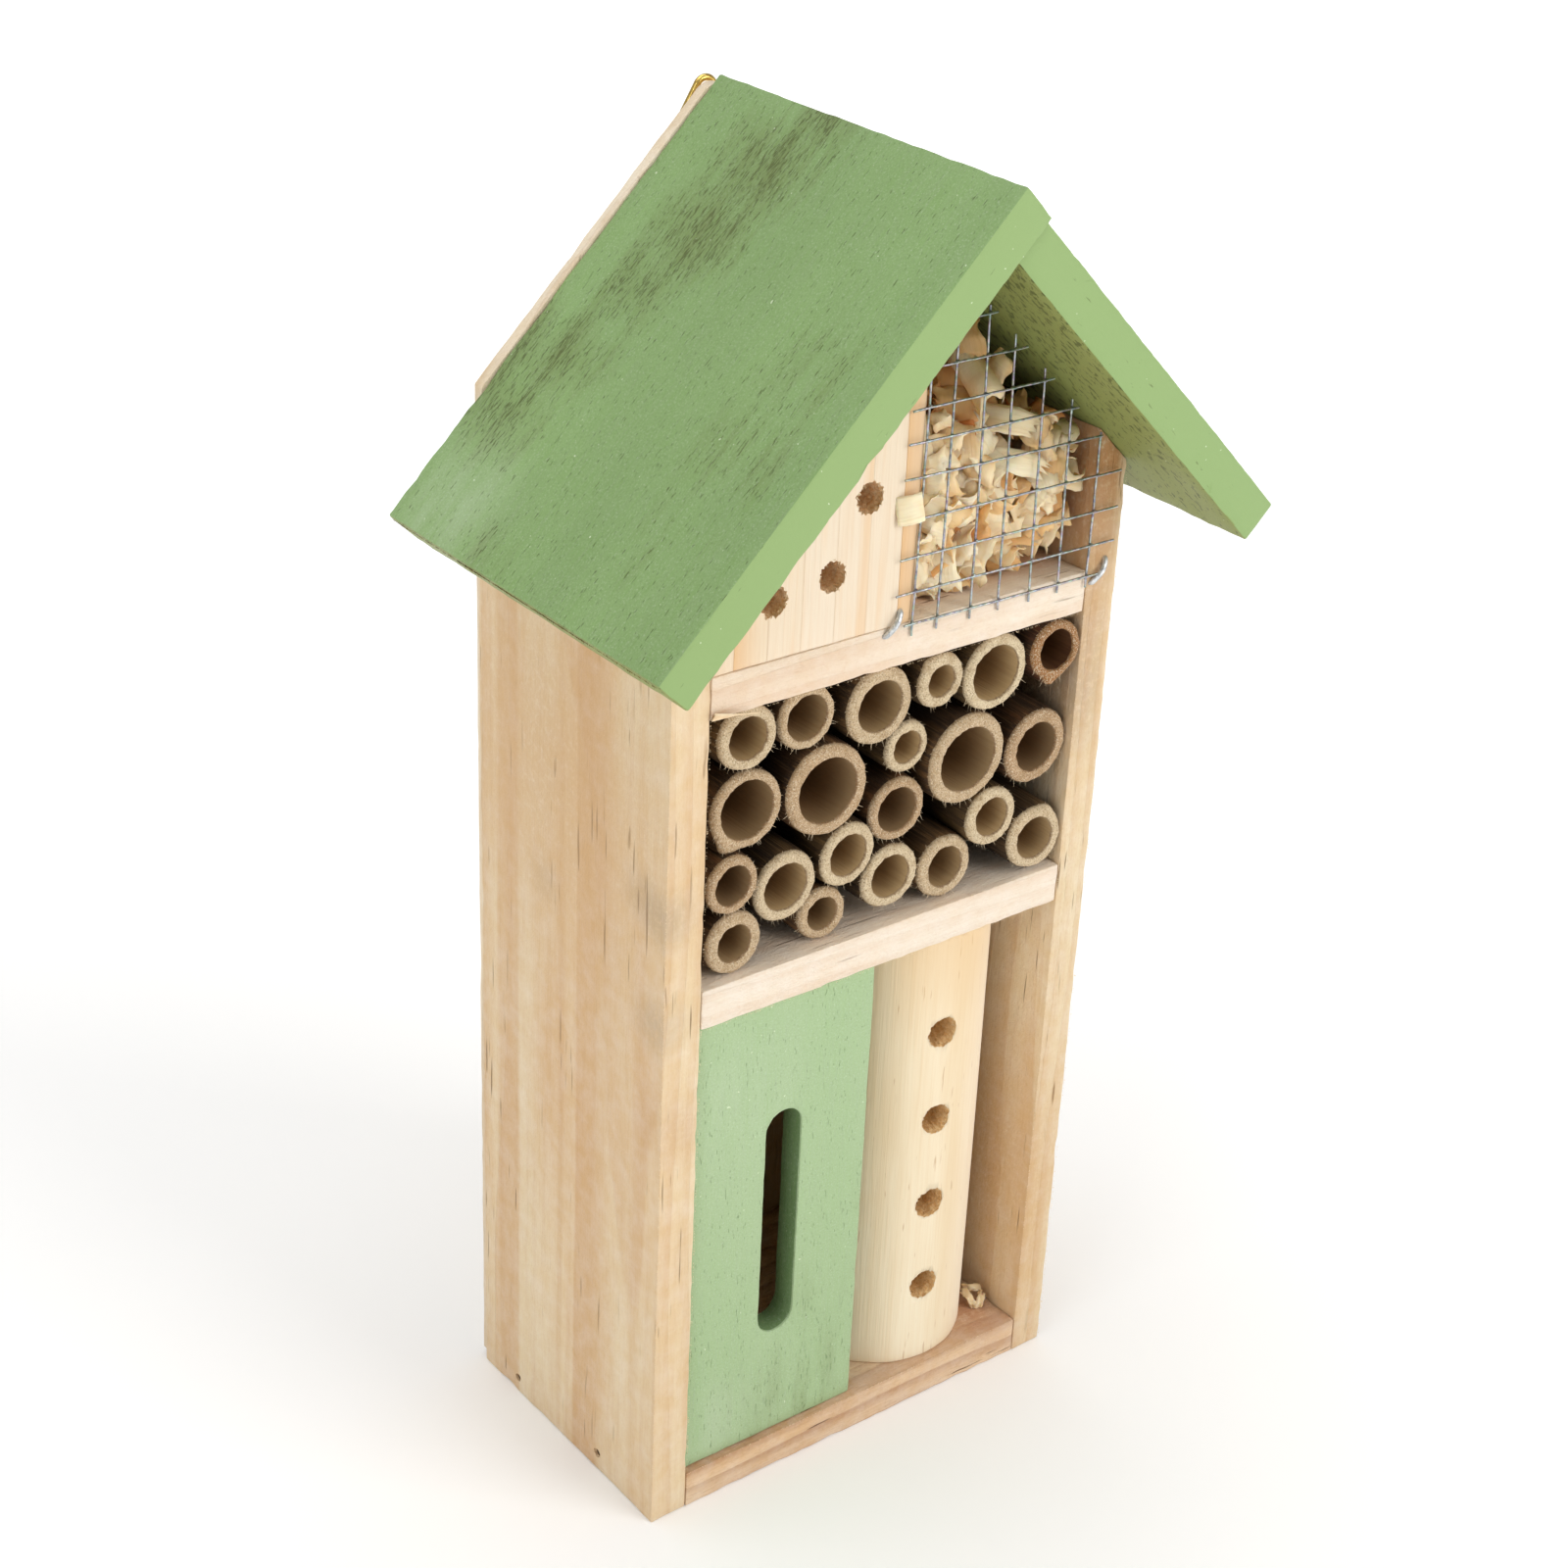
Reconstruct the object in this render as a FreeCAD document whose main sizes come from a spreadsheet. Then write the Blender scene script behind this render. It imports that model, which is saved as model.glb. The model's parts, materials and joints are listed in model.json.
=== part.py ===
import FreeCAD, Part
import math
import os
import Sketcher

# Small wooden insect hotel: an open-fronted pine box with a gabled roof, divided into three floors.
# The top floor holds a drilled block and a wire-meshed bin of wood shavings, the middle floor holds
# bamboo canes, and the bottom floor holds a butterfly panel and a drilled log. A wire ring in a strap
# on the back hangs it up, and the ring is the only piece that moves.
#
# Frame: +X to the right as seen from the front, +Y to the back, +Z up. The origin is the centre of
# the box's footprint, where it stands. The box's front edges are at Y = -body_depth / 2.

Vector = FreeCAD.Vector
Rotation = FreeCAD.Rotation
Placement = FreeCAD.Placement

X_AXIS = Vector(1, 0, 0)
Y_AXIS = Vector(0, 1, 0)
Z_AXIS = Vector(0, 0, 1)

# All sizes in millimetres, angles in degrees.
DRIVING = {
    # box
    "body_width": 100.0,
    "body_depth": 60.0,
    "left_side_thickness": 8.2,
    "right_side_thickness": 7.4,
    "shelf_thickness": 8.2,
    "lower_shelf_height": 109.3,
    "upper_shelf_height": 170.4,
    # roof
    "roof_slope": 45.0,
    "apex_height": 248.7,
    "roof_thickness": 8.4,
    "left_roof_depth": 81.5,
    "right_roof_depth": 80.5,
    "roof_overlap": 9.0,
    "left_roof_length": 97.0,
    "right_roof_length": 86.5,
    # back panel
    "panel_thickness": 2.5,
    "panel_inset": 1.1,
    "panel_shoulder": 212.0,
    "panel_peak_radius": 4.0,
    # drilled block, upper left
    "block_right": 1.3,
    "block_hole_radius": 2.9,
    "block_hole_depth": 40.0,
    # wire mesh, upper right
    "mesh_uprights": 7,
    "mesh_crosses": 9,
    "wire_radius": 0.35,
    "wire_gap": 0.05,
    "mesh_left": 0.4,
    "mesh_bottom": 178.4,
    "mesh_pitch_across": 6.9,
    "mesh_pitch_up": 6.8,
    "mesh_end_left": 3.8,
    "mesh_end_right": 4.8,
    "mesh_end_down": 2.2,
    "mesh_top": 236.0,
    # staples
    "staple_crown": 5.2,
    "staple_leg": 6.0,
    "staple_wire": 0.9,
    "staple_lean": 54.0,
    # shavings
    "shavings_right": 39.0,
    "shavings_gap": 0.4,
    # bamboo canes
    "cane_back_gap": 1.0,
    # butterfly panel, lower left
    "door_width": 41.2,
    "door_thickness": 6.0,
    "door_recess": 1.5,
    "slot_width": 8.1,
    "slot_length": 51.0,
    "slot_height": 58.2,
    "slot_from_left": 21.3,
    # drilled log, lower right
    "log_radius": 19.0,
    "log_across": 19.8,
    "log_back": -9.2,
    "log_hole_radius": 3.2,
    "log_hole_depth": 30.0,
    "log_hole_offset": -1.9,
    "log_hole_count": 4,
    "log_hole_pitch": 20.1,
    "log_first_hole": 26.7,
    # brads
    "brad_shank_radius": 0.5,
    "brad_head_radius": 0.75,
    "brad_head_height": 0.6,
    "brad_tip_radius": 0.05,
    "brad_tip_length": 1.5,
    "side_brad_length": 16.0,
    "back_brad_length": 12.0,
    "brad_sink": 0.5,
    # hanger
    "hanger_across": -1.0,
    "hanger_axis_height": 247.1,
    "hanger_axis_gap": 1.6,
    "ring_across": 0.3,
    "ring_wire_radius": 0.65,
    "ring_height": 14.0,
    "ring_half_width": 8.5,
    "ring_corner_radius": 2.0,
    "strap_width": 8.6,
    "strap_length": 15.0,
    "strap_thickness": 1.2,
    "strap_bore_radius": 0.85,
    "strap_loop_radius": 1.6,
    "screw_drop": 9.0,
    "screw_head_radius": 2.2,
    "screw_head_height": 1.2,
    "screw_shank_radius": 1.0,
    "screw_clearance": 0.2,
    "screw_length": 9.0,
    "screw_tip_length": 2.0,
    "screw_slot_width": 0.6,
    "screw_slot_depth": 0.6,
}

# Bamboo canes: centre across, centre height, outer radius, bore radius, and how far the cut end
# sits behind the front edges of the box. Row by row from the top left.
CANES = [
    (-32.0, 163.8, 6.4, 4.1, 1.7),
    (-18.9, 164.0, 6.3, 4.4, 2.2),
    (-3.3, 162.5, 7.6, 5.0, 1.2),
    (10.2, 164.2, 5.4, 3.1, 0.7),
    (23.1, 162.6, 7.5, 5.4, 0.6),
    (36.6, 164.3, 5.8, 4.0, -0.6),
    (-31.1, 149.4, 7.7, 5.7, 2.4),
    (-13.9, 148.6, 9.1, 6.4, 1.6),
    (4.6, 151.8, 5.2, 3.2, 2.4),
    (18.1, 146.3, 9.1, 6.4, 0.8),
    (34.9, 144.3, 7.5, 4.9, 0.7),
    (3.2, 139.5, 6.4, 4.4, 2.4),
    (24.9, 132.5, 6.1, 3.9, 0.5),
    (35.9, 125.0, 6.6, 4.3, 0.0),
    (-34.8, 136.2, 5.8, 3.9, 0.8),
    (-22.3, 131.6, 7.0, 4.7, 1.8),
    (-8.4, 133.9, 6.4, 4.2, 1.6),
    (2.2, 126.1, 6.5, 4.3, 2.0),
    (15.3, 124.2, 6.5, 4.1, 1.8),
    (-13.2, 123.0, 5.4, 3.3, 2.3),
    (-33.7, 123.9, 6.3, 3.7, 1.3),
]

# Hole centres in the drilled block, across and up from its lower left corner.
BLOCK_HOLES = [(31.8, 25.3), (24.6, 12.6), (12.2, 10.9), (14.3, 26.9), (30.7, 43.0)]

# Staples: centre across and centre height.
STAPLES = [(-3.4, 179.2), (45.0, 178.2)]

# Brads in each side board, into the floor: distance behind the front edge and height.
SIDE_BRADS = [(18.7, 4.2), (47.4, 3.6)]

# Brads through the back panel: across and height.
BACK_BRADS = [
    (-35.0, 4.1),
    (35.0, 4.1),
    (-45.8, 60.0),
    (45.8, 60.0),
    (-20.0, 113.4),
    (20.0, 113.4),
    (-45.8, 150.0),
    (45.8, 150.0),
    (-25.0, 174.5),
    (25.0, 174.5),
]

# Tables of the sheet: the columns' names and the rows. A cell's alias is table_row_column.
TABLES = {
    "cane": (("across", "height", "outer", "bore", "recess"), CANES),
    "block_hole": (("across", "height"), BLOCK_HOLES),
    "staple": (("across", "height"), STAPLES),
    "side_brad": (("behind", "height"), SIDE_BRADS),
    "back_brad": (("across", "height"), BACK_BRADS),
}

# The screw's domed head: shares of the head's radius and of its height, from the crown down.
HEAD_DOME = [(0.55, 0.95), (0.87, 0.6)]

doc = FreeCAD.newDocument("InsectHotel")
sheet = doc.addObject("Spreadsheet::Sheet", "Dimensions")


def row_names(table):
    """The names of a table's rows, such as cane_01, cane_02."""
    rows = TABLES[table][1]
    return [f"{table}_{number:02d}" for number in range(1, len(rows) + 1)]


def fill_sheet():
    """Write every driving dimension to its own cell, with its name as the alias."""
    values = dict(DRIVING)
    for table, (columns, rows) in TABLES.items():
        for name, row in zip(row_names(table), rows):
            for column, value in zip(columns, row):
                values[f"{name}_{column}"] = value
    for row, (name, value) in enumerate(values.items(), start=1):
        sheet.set(f"A{row}", name)
        sheet.set(f"B{row}", str(value))
        sheet.setAlias(f"B{row}", name)
    doc.recompute()


def size(name):
    """Read one driving dimension from the sheet."""
    return float(sheet.get(name))


def in_sheet_names(expression):
    """Names in braces are driving dimensions; the document knows them by the sheet's name."""
    return expression.replace("{", "Dimensions.").replace("}", "")


def bind(item, prop, expression):
    """Bind a property to an expression in the sheet's names."""
    item.setExpression(prop, in_sheet_names(expression))


def place(item, across="0", back="0", up="0", rotation=None):
    """Put a sub-part in the frame, with its base bound to the sheet."""
    item.Placement = Placement(Vector(), rotation or Rotation())
    for axis, expression in (("x", across), ("y", back), ("z", up)):
        bind(item, f"Placement.Base.{axis}", expression)


def new_body(label):
    body = doc.addObject("PartDesign::Body", label)
    body.Label = label
    return body


def new_sketch(body, name, plane_role, offset=None):
    """A sketch on one of the body's own origin planes, moved along its normal by offset."""
    sketch = body.newObject("Sketcher::SketchObject", name)
    plane = [item for item in body.Origin.OriginFeatures if item.Role == plane_role][0]
    sketch.AttachmentSupport = (plane, "")
    sketch.MapMode = "FlatFace"
    if offset:
        bind(sketch, "AttachmentOffset.Base.z", offset)
    return sketch


def dimension(sketch, kind, first, expression, *points):
    """Add one sketch dimension and bind it to the sheet."""
    index = sketch.addConstraint(Sketcher.Constraint(kind, *points, first))
    bind(sketch, f"Constraints[{index}]", expression)


def evaluate(item, expression):
    """The value now of an expression in the sheet's names."""
    value = item.evalExpression(in_sheet_names(expression))
    return float(getattr(value, "Value", value))


def coordinate(sketch, kind, geometry, vertex, expression):
    """Dimension a vertex from the sketch's origin along X or Y."""
    value = evaluate(sketch, expression)
    dimension(sketch, kind, value, expression, -1, 1, geometry, vertex)


def draw_polygon(sketch, corners):
    """A closed outline through corners, each given as two expressions in the sheet's names."""
    points = [Vector(evaluate(sketch, across), evaluate(sketch, up), 0) for across, up in corners]
    lines = []
    for start, end in zip(points, points[1:] + points[:1]):
        lines.append(sketch.addGeometry(Part.LineSegment(start, end), False))
    for line, following in zip(lines, lines[1:] + lines[:1]):
        sketch.addConstraint(Sketcher.Constraint("Coincident", line, 2, following, 1))
    for line, (across, up) in zip(lines, corners):
        coordinate(sketch, "DistanceX", line, 1, across)
        coordinate(sketch, "DistanceY", line, 1, up)


def draw_circle(sketch, across, up, radius):
    """A circle whose centre and radius are bound to the sheet."""
    centre = Vector(evaluate(sketch, across), evaluate(sketch, up), 0)
    now = evaluate(sketch, radius)
    circle = sketch.addGeometry(Part.Circle(centre, Z_AXIS, now), False)
    coordinate(sketch, "DistanceX", circle, 3, across)
    coordinate(sketch, "DistanceY", circle, 3, up)
    dimension(sketch, "Radius", now, radius, circle)


def pad(body, sketch, length, backwards=True):
    """Pad a sketch; on the XZ plane, backwards means towards +Y."""
    feature = body.newObject("PartDesign::Pad", sketch.Name + "Pad")
    feature.Profile = sketch
    feature.Reversed = backwards
    bind(feature, "Length", length)
    sketch.Visibility = False
    doc.recompute()
    return feature


def pocket(body, sketch, depth, reverse=False):
    """Cut a sketch into the body, and make sure that the cut takes wood away."""
    before = body.Shape.Volume
    feature = body.newObject("PartDesign::Pocket", sketch.Name + "Pocket")
    feature.Profile = sketch
    feature.Reversed = reverse
    bind(feature, "Length", depth)
    sketch.Visibility = False
    doc.recompute()
    if not body.Shape.Volume < before:
        raise RuntimeError(f"{feature.Name} cuts nothing")


# ---------------------------------------------------------------------------------- the box


def make_side(label, thickness, across, back, rotation):
    """A side board, its top sawn to the roof's slope, with sunk seats for the floor's brads.
    It is drawn as the left board; the right one is drawn the same way, then turned round."""
    body = new_body(label)
    outline = new_sketch(body, label + "Outline", "XZ_Plane")
    outer_height = "{apex_height} - {body_width} / 2 * tan({roof_slope} * 1 deg)"
    inner_height = f"{outer_height} + {thickness} * tan({{roof_slope}} * 1 deg)"
    corners = [
        ("0", "0"),
        (thickness, "0"),
        (thickness, inner_height),
        ("0", outer_height),
    ]
    draw_polygon(outline, corners)
    pad(body, outline, "{body_depth}")
    seats = new_sketch(body, label + "Seats", "YZ_Plane")
    for brad in row_names("side_brad"):
        draw_circle(seats, f"{{{brad}_behind}}", f"{{{brad}_height}}", "{brad_head_radius}")
    pocket(body, seats, "{brad_sink}", reverse=True)
    place(body, across, back, "0", rotation)


def make_plank(label, up):
    """A floor or shelf: a plain plank between the side boards."""
    plank = doc.addObject("Part::Box", label)
    plank.Label = label
    bind(plank, "Length", "{body_width} - {left_side_thickness} - {right_side_thickness}")
    bind(plank, "Width", "{body_depth}")
    bind(plank, "Height", "{shelf_thickness}")
    place(plank, "{left_side_thickness} - {body_width} / 2", "-{body_depth} / 2", up)


def make_back_panel():
    """A thin gabled panel over the back, just inside the box's outline, its peak rounded."""
    body = new_body("back_panel")
    outline = new_sketch(body, "BackPanelOutline", "XZ_Plane")
    half = "{body_width} / 2 - {panel_inset}"
    peak = "{panel_shoulder} + (" + half + ") * tan({roof_slope} * 1 deg)"
    corners = [
        (f"-({half})", "{panel_inset}"),
        (half, "{panel_inset}"),
        (half, "{panel_shoulder}"),
        ("0", peak),
        (f"-({half})", "{panel_shoulder}"),
    ]
    draw_polygon(outline, corners)
    plate = pad(body, outline, "{panel_thickness}")
    heights = [edge.CenterOfMass.z for edge in plate.Shape.Edges]
    peak_edge = heights.index(max(heights)) + 1
    rounding = body.newObject("PartDesign::Fillet", "BackPanelPeak")
    rounding.Base = (plate, [f"Edge{peak_edge}"])
    bind(rounding, "Radius", "{panel_peak_radius}")
    place(body, "0", "{body_depth} / 2", "0")


# ---------------------------------------------------------------------------------- the roof


def make_roof_board(label, length, depth, across, up, rotation):
    """A roof board: a plank laid on the slope, flush with the back panel and over the front."""
    board = doc.addObject("Part::Box", label)
    board.Label = label
    bind(board, "Length", length)
    bind(board, "Width", depth)
    bind(board, "Height", "{roof_thickness}")
    place(board, across, f"{{body_depth}} / 2 - {depth}", up, rotation)


def make_roof():
    """The left board runs over the end of the right one, which butts against its underside."""
    slope = size("roof_slope")
    reach = "({left_roof_length} - {roof_overlap})"
    make_roof_board(
        "roof_board_left",
        "{left_roof_length}",
        "{left_roof_depth}",
        f"-{reach} * cos({{roof_slope}} * 1 deg)",
        f"{{apex_height}} - {reach} * sin({{roof_slope}} * 1 deg)",
        Rotation(Y_AXIS, -slope),
    )
    make_roof_board(
        "roof_board_right",
        "{right_roof_length}",
        "{right_roof_depth}",
        "0",
        "{apex_height}",
        Rotation(Y_AXIS, slope),
    )


# ---------------------------------------------------------------------------------- top floor


def make_block():
    """The drilled block: glued strips of pine, sawn to the roof, with blind nesting holes."""
    body = new_body("drilled_block")
    outline = new_sketch(body, "BlockOutline", "XZ_Plane")
    left = "(-{body_width} / 2 + {left_side_thickness})"
    bottom = "({upper_shelf_height} + {shelf_thickness})"
    width = f"{{block_right}} - {left}"
    top_left = f"{{apex_height}} + {left} * tan({{roof_slope}} * 1 deg) - {bottom}"
    top_right = f"{{apex_height}} - {{block_right}} * tan({{roof_slope}} * 1 deg) - {bottom}"
    corners = [
        ("0", "0"),
        (width, "0"),
        (width, top_right),
        (f"-{left}", f"{{apex_height}} - {bottom}"),
        ("0", top_left),
    ]
    draw_polygon(outline, corners)
    pad(body, outline, "{body_depth}")
    holes = new_sketch(body, "BlockHoles", "XZ_Plane")
    for hole in row_names("block_hole"):
        draw_circle(holes, f"{{{hole}_across}}", f"{{{hole}_height}}", "{block_hole_radius}")
    pocket(body, holes, "{block_hole_depth}")
    place(body, left, "-{body_depth} / 2", bottom)


def mesh_ceiling(across):
    """Height of the roof's underside above a point across the front, less a wire's gap."""
    slope = math.tan(math.radians(size("roof_slope")))
    return size("apex_height") - abs(across) * slope - 2 * size("wire_gap")


def make_mesh():
    """Welded wire mesh over the shavings: uprights against the wood and crosses in front of them,
    every wire end left free and the corner under the roof clipped to the slope."""
    radius = size("wire_radius")
    upright_y = -size("body_depth") / 2 - radius - size("wire_gap")
    cross_y = upright_y - 2 * radius + size("wire_gap")
    wires = []
    count = int(size("mesh_uprights"))
    uprights = [size("mesh_left") + i * size("mesh_pitch_across") for i in range(count)]
    for across in uprights:
        low = size("mesh_bottom") - size("mesh_end_down")
        high = min(size("mesh_top"), mesh_ceiling(across) - radius)
        wires.append(Part.makeCylinder(radius, high - low, Vector(across, upright_y, low), Z_AXIS))
    slope = math.tan(math.radians(size("roof_slope")))
    for index in range(int(size("mesh_crosses"))):
        height = size("mesh_bottom") + index * size("mesh_pitch_up")
        under_roof = (mesh_ceiling(0) - height) / slope - radius
        low = max(uprights[0] - size("mesh_end_left"), -under_roof)
        high = min(uprights[-1] + size("mesh_end_right"), under_roof)
        wires.append(Part.makeCylinder(radius, high - low, Vector(low, cross_y, height), X_AXIS))
    mesh = doc.addObject("Part::Feature", "wire_mesh")
    mesh.Label = "wire_mesh"
    mesh.Shape = wires[0].fuse(wires[1:])


def staple_shape():
    """One staple lying along X at the origin, its crown in front and its legs towards +Y."""
    crown = size("staple_crown")
    leg = size("staple_leg")
    wire = size("staple_wire")
    half = crown / 2
    outline = [
        (-half, 0),
        (half, 0),
        (half, leg),
        (half - wire, leg - wire),
        (half - wire, wire),
        (wire - half, wire),
        (wire - half, leg - wire),
        (-half, leg),
    ]
    points = [Vector(x, y, -wire / 2) for x, y in outline]
    face = Part.Face(Part.makePolygon(points + points[:1]))
    return face.extrude(Vector(0, 0, wire))


def make_staples():
    """Two wire staples, driven aslant over the lowest cross wire."""
    front = -size("body_depth") / 2
    crown_y = front - 4 * size("wire_radius") - size("wire_gap") - size("staple_wire")
    pieces = []
    turn = Rotation(Y_AXIS, -size("staple_lean"))
    for name in row_names("staple"):
        centre = Vector(size(f"{name}_across"), crown_y, size(f"{name}_height"))
        piece = staple_shape()
        piece.Placement = Placement(centre, turn)
        pieces.append(piece)
    staples = doc.addObject("Part::Feature", "mesh_staples")
    staples.Label = "mesh_staples"
    staples.Shape = Part.makeCompound(pieces)


def make_shavings():
    """The loose wood shavings, as one closed solid of the space that they fill."""
    body = new_body("wood_shavings")
    outline = new_sketch(body, "ShavingsOutline", "XZ_Plane")
    left = "({block_right} + {shavings_gap})"
    right = "{shavings_right}"
    bottom = "({upper_shelf_height} + {shelf_thickness} + {shavings_gap})"
    ceiling = "{apex_height} - 2 * {shavings_gap}"
    corners = [
        (left, bottom),
        (right, bottom),
        (right, f"{ceiling} - {right} * tan({{roof_slope}} * 1 deg)"),
        (left, f"{ceiling} - {left} * tan({{roof_slope}} * 1 deg)"),
    ]
    draw_polygon(outline, corners)
    pad(body, outline, "{body_depth} - 2 * {shavings_gap}")
    place(body, "0", "{shavings_gap} - {body_depth} / 2", "0")


# ---------------------------------------------------------------------------------- middle floor


def make_cane(cane):
    """One bamboo cane: a short tube, open at both ends, its back end short of the back panel."""
    label = cane.replace("cane", "bamboo_tube")
    body = new_body(label)
    section = new_sketch(body, label + "Section", "XZ_Plane")
    draw_circle(section, "0", "0", f"{{{cane}_outer}}")
    draw_circle(section, "0", "0", f"{{{cane}_bore}}")
    pad(body, section, f"{{body_depth}} - {{{cane}_recess}} - {{cane_back_gap}}")
    back = f"{{{cane}_recess}} - {{body_depth}} / 2"
    place(body, f"{{{cane}_across}}", back, f"{{{cane}_height}}")


# ---------------------------------------------------------------------------------- bottom floor


def make_butterfly_panel():
    """The painted panel with its upright slot, set a little behind the front edges."""
    body = new_body("butterfly_panel")
    outline = new_sketch(body, "DoorOutline", "XZ_Plane")
    height = "{lower_shelf_height} - {shelf_thickness}"
    corners = [("0", "0"), ("{door_width}", "0"), ("{door_width}", height), ("0", height)]
    draw_polygon(outline, corners)
    pad(body, outline, "{door_thickness}")
    slot = new_sketch(body, "DoorSlot", "XZ_Plane")
    radius = size("slot_width") / 2
    middle = size("slot_from_left")
    low = size("slot_height") - size("shelf_thickness") - size("slot_length") / 2 + radius
    high = low + size("slot_length") - 2 * radius
    lower_end = Part.Circle(Vector(middle, low, 0), Z_AXIS, radius)
    upper_end = Part.Circle(Vector(middle, high, 0), Z_AXIS, radius)
    up_the_right = Part.LineSegment(
        Vector(middle + radius, low, 0), Vector(middle + radius, high, 0)
    )
    down_the_left = Part.LineSegment(
        Vector(middle - radius, high, 0), Vector(middle - radius, low, 0)
    )
    bottom = slot.addGeometry(Part.ArcOfCircle(lower_end, math.pi, 2 * math.pi), False)
    right = slot.addGeometry(up_the_right, False)
    top = slot.addGeometry(Part.ArcOfCircle(upper_end, 0, math.pi), False)
    left = slot.addGeometry(down_the_left, False)
    for first, second in ((bottom, right), (right, top), (top, left), (left, bottom)):
        slot.addConstraint(Sketcher.Constraint("Tangent", first, 2, second, 1))
    slot.addConstraint(Sketcher.Constraint("Equal", bottom, top))
    coordinate(slot, "DistanceX", bottom, 3, "{slot_from_left}")
    low_centre = "{slot_height} - {shelf_thickness} - {slot_length} / 2 + {slot_width} / 2"
    coordinate(slot, "DistanceY", bottom, 3, low_centre)
    coordinate(slot, "DistanceY", top, 3, low_centre + " + {slot_length} - {slot_width}")
    dimension(slot, "Radius", radius, "{slot_width} / 2", bottom)
    pocket(body, slot, "{door_thickness}")
    across = "{left_side_thickness} - {body_width} / 2"
    place(body, across, "{door_recess} - {body_depth} / 2", "{shelf_thickness}")


def make_log():
    """The peeled round log on the floor, with a row of holes drilled straight back."""
    body = new_body("nesting_log")
    round_section = new_sketch(body, "LogSection", "XY_Plane")
    draw_circle(round_section, "0", "0", "{log_radius}")
    pad(body, round_section, "{lower_shelf_height} - {shelf_thickness}", backwards=False)
    holes = new_sketch(body, "LogHoles", "XZ_Plane", offset="{log_radius}")
    for index in range(int(size("log_hole_count"))):
        up = f"{{log_first_hole}} - {{shelf_thickness}} + {index} * {{log_hole_pitch}}"
        draw_circle(holes, "{log_hole_offset}", up, "{log_hole_radius}")
    pocket(body, holes, "{log_hole_depth}")
    place(body, "{log_across}", "{log_back}", "{shelf_thickness}")


# ---------------------------------------------------------------------------------- brads


def brad_shape(length):
    """One brad with the top of its head at the origin and its point towards +Z."""
    radius = size("brad_shank_radius")
    tip_length = size("brad_tip_length")
    tip_start = Vector(0, 0, length - tip_length)
    head = Part.makeCylinder(size("brad_head_radius"), size("brad_head_height"))
    shank = Part.makeCylinder(radius, tip_start.z)
    tip = Part.makeCone(radius, size("brad_tip_radius"), tip_length, tip_start)
    return head.fuse([shank, tip]).removeSplitter()


def make_brads(label, length, seats):
    """A group of like brads; each seat is the place of the head's top and the way it points."""
    pieces = []
    for position, direction in seats:
        piece = brad_shape(length)
        piece.Placement = Placement(position, Rotation(Z_AXIS, direction))
        pieces.append(piece)
    group = doc.addObject("Part::Feature", label)
    group.Label = label
    group.Shape = Part.makeCompound(pieces)


def make_all_brads():
    """Brads through the side boards into the floor, sunk, and through the back panel, flush."""
    front = -size("body_depth") / 2
    outside = size("body_width") / 2 - size("brad_sink")
    seats = []
    for brad in row_names("side_brad"):
        along = front + size(f"{brad}_behind")
        height = size(f"{brad}_height")
        seats.append((Vector(-outside, along, height), X_AXIS))
        seats.append((Vector(outside, -along, height), -X_AXIS))
    make_brads("side_brads", size("side_brad_length"), seats)
    panel_back = size("body_depth") / 2 + size("panel_thickness")
    seats = []
    for brad in row_names("back_brad"):
        seats.append((Vector(size(f"{brad}_across"), panel_back, size(f"{brad}_height")), -Y_AXIS))
    make_brads("back_brads", size("back_brad_length"), seats)


# ---------------------------------------------------------------------------------- hanger


def make_cylinder(name, radius, length, rotation, across, back, up):
    """A plain cylinder with its size and base bound to the sheet."""
    cylinder = doc.addObject("Part::Cylinder", name)
    bind(cylinder, "Radius", radius)
    bind(cylinder, "Height", length)
    place(cylinder, across, back, up, rotation)
    return cylinder


def make_strap():
    """The strap: a strip doubled over the ring's bar and rolled round it, with a screw hole."""
    along_x = Rotation(Z_AXIS, X_AXIS)
    along_y = Rotation(Z_AXIS, Y_AXIS)
    middle = "{hanger_across}"
    left = "{hanger_across} - {strap_width} / 2"
    width = "{strap_width}"
    thickness = "{strap_thickness}"
    panel_back = "({body_depth} / 2 + {panel_thickness})"
    axis_y = panel_back + " + {hanger_axis_gap}"
    axis_z = "{hanger_axis_height}"
    end_z = "{hanger_axis_height} - {strap_length} + {strap_width} / 2"
    screw_z = "{hanger_axis_height} - {screw_drop}"
    strip = doc.addObject("Part::Box", "StrapStrip")
    bind(strip, "Length", width)
    bind(strip, "Width", thickness)
    bind(strip, "Height", "{strap_length} - {strap_width} / 2")
    place(strip, left, panel_back, end_z)
    rounded = "{strap_width} / 2"
    end = make_cylinder("StrapEnd", rounded, thickness, along_y, middle, panel_back, end_z)
    loop = make_cylinder("StrapLoop", "{strap_loop_radius}", width, along_x, left, axis_y, axis_z)
    solid = doc.addObject("Part::MultiFuse", "StrapSolid")
    solid.Shapes = [strip, end, loop]
    bore = make_cylinder("StrapBore", "{strap_bore_radius}", width, along_x, left, axis_y, axis_z)
    clear = "{screw_shank_radius} + {screw_clearance}"
    hole = make_cylinder("StrapHole", clear, thickness, along_y, middle, panel_back, screw_z)
    cutters = doc.addObject("Part::MultiFuse", "StrapCutters")
    cutters.Shapes = [bore, hole]
    strap = doc.addObject("Part::Cut", "hanger_strap")
    strap.Label = "hanger_strap"
    strap.Base = solid
    strap.Tool = cutters


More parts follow.
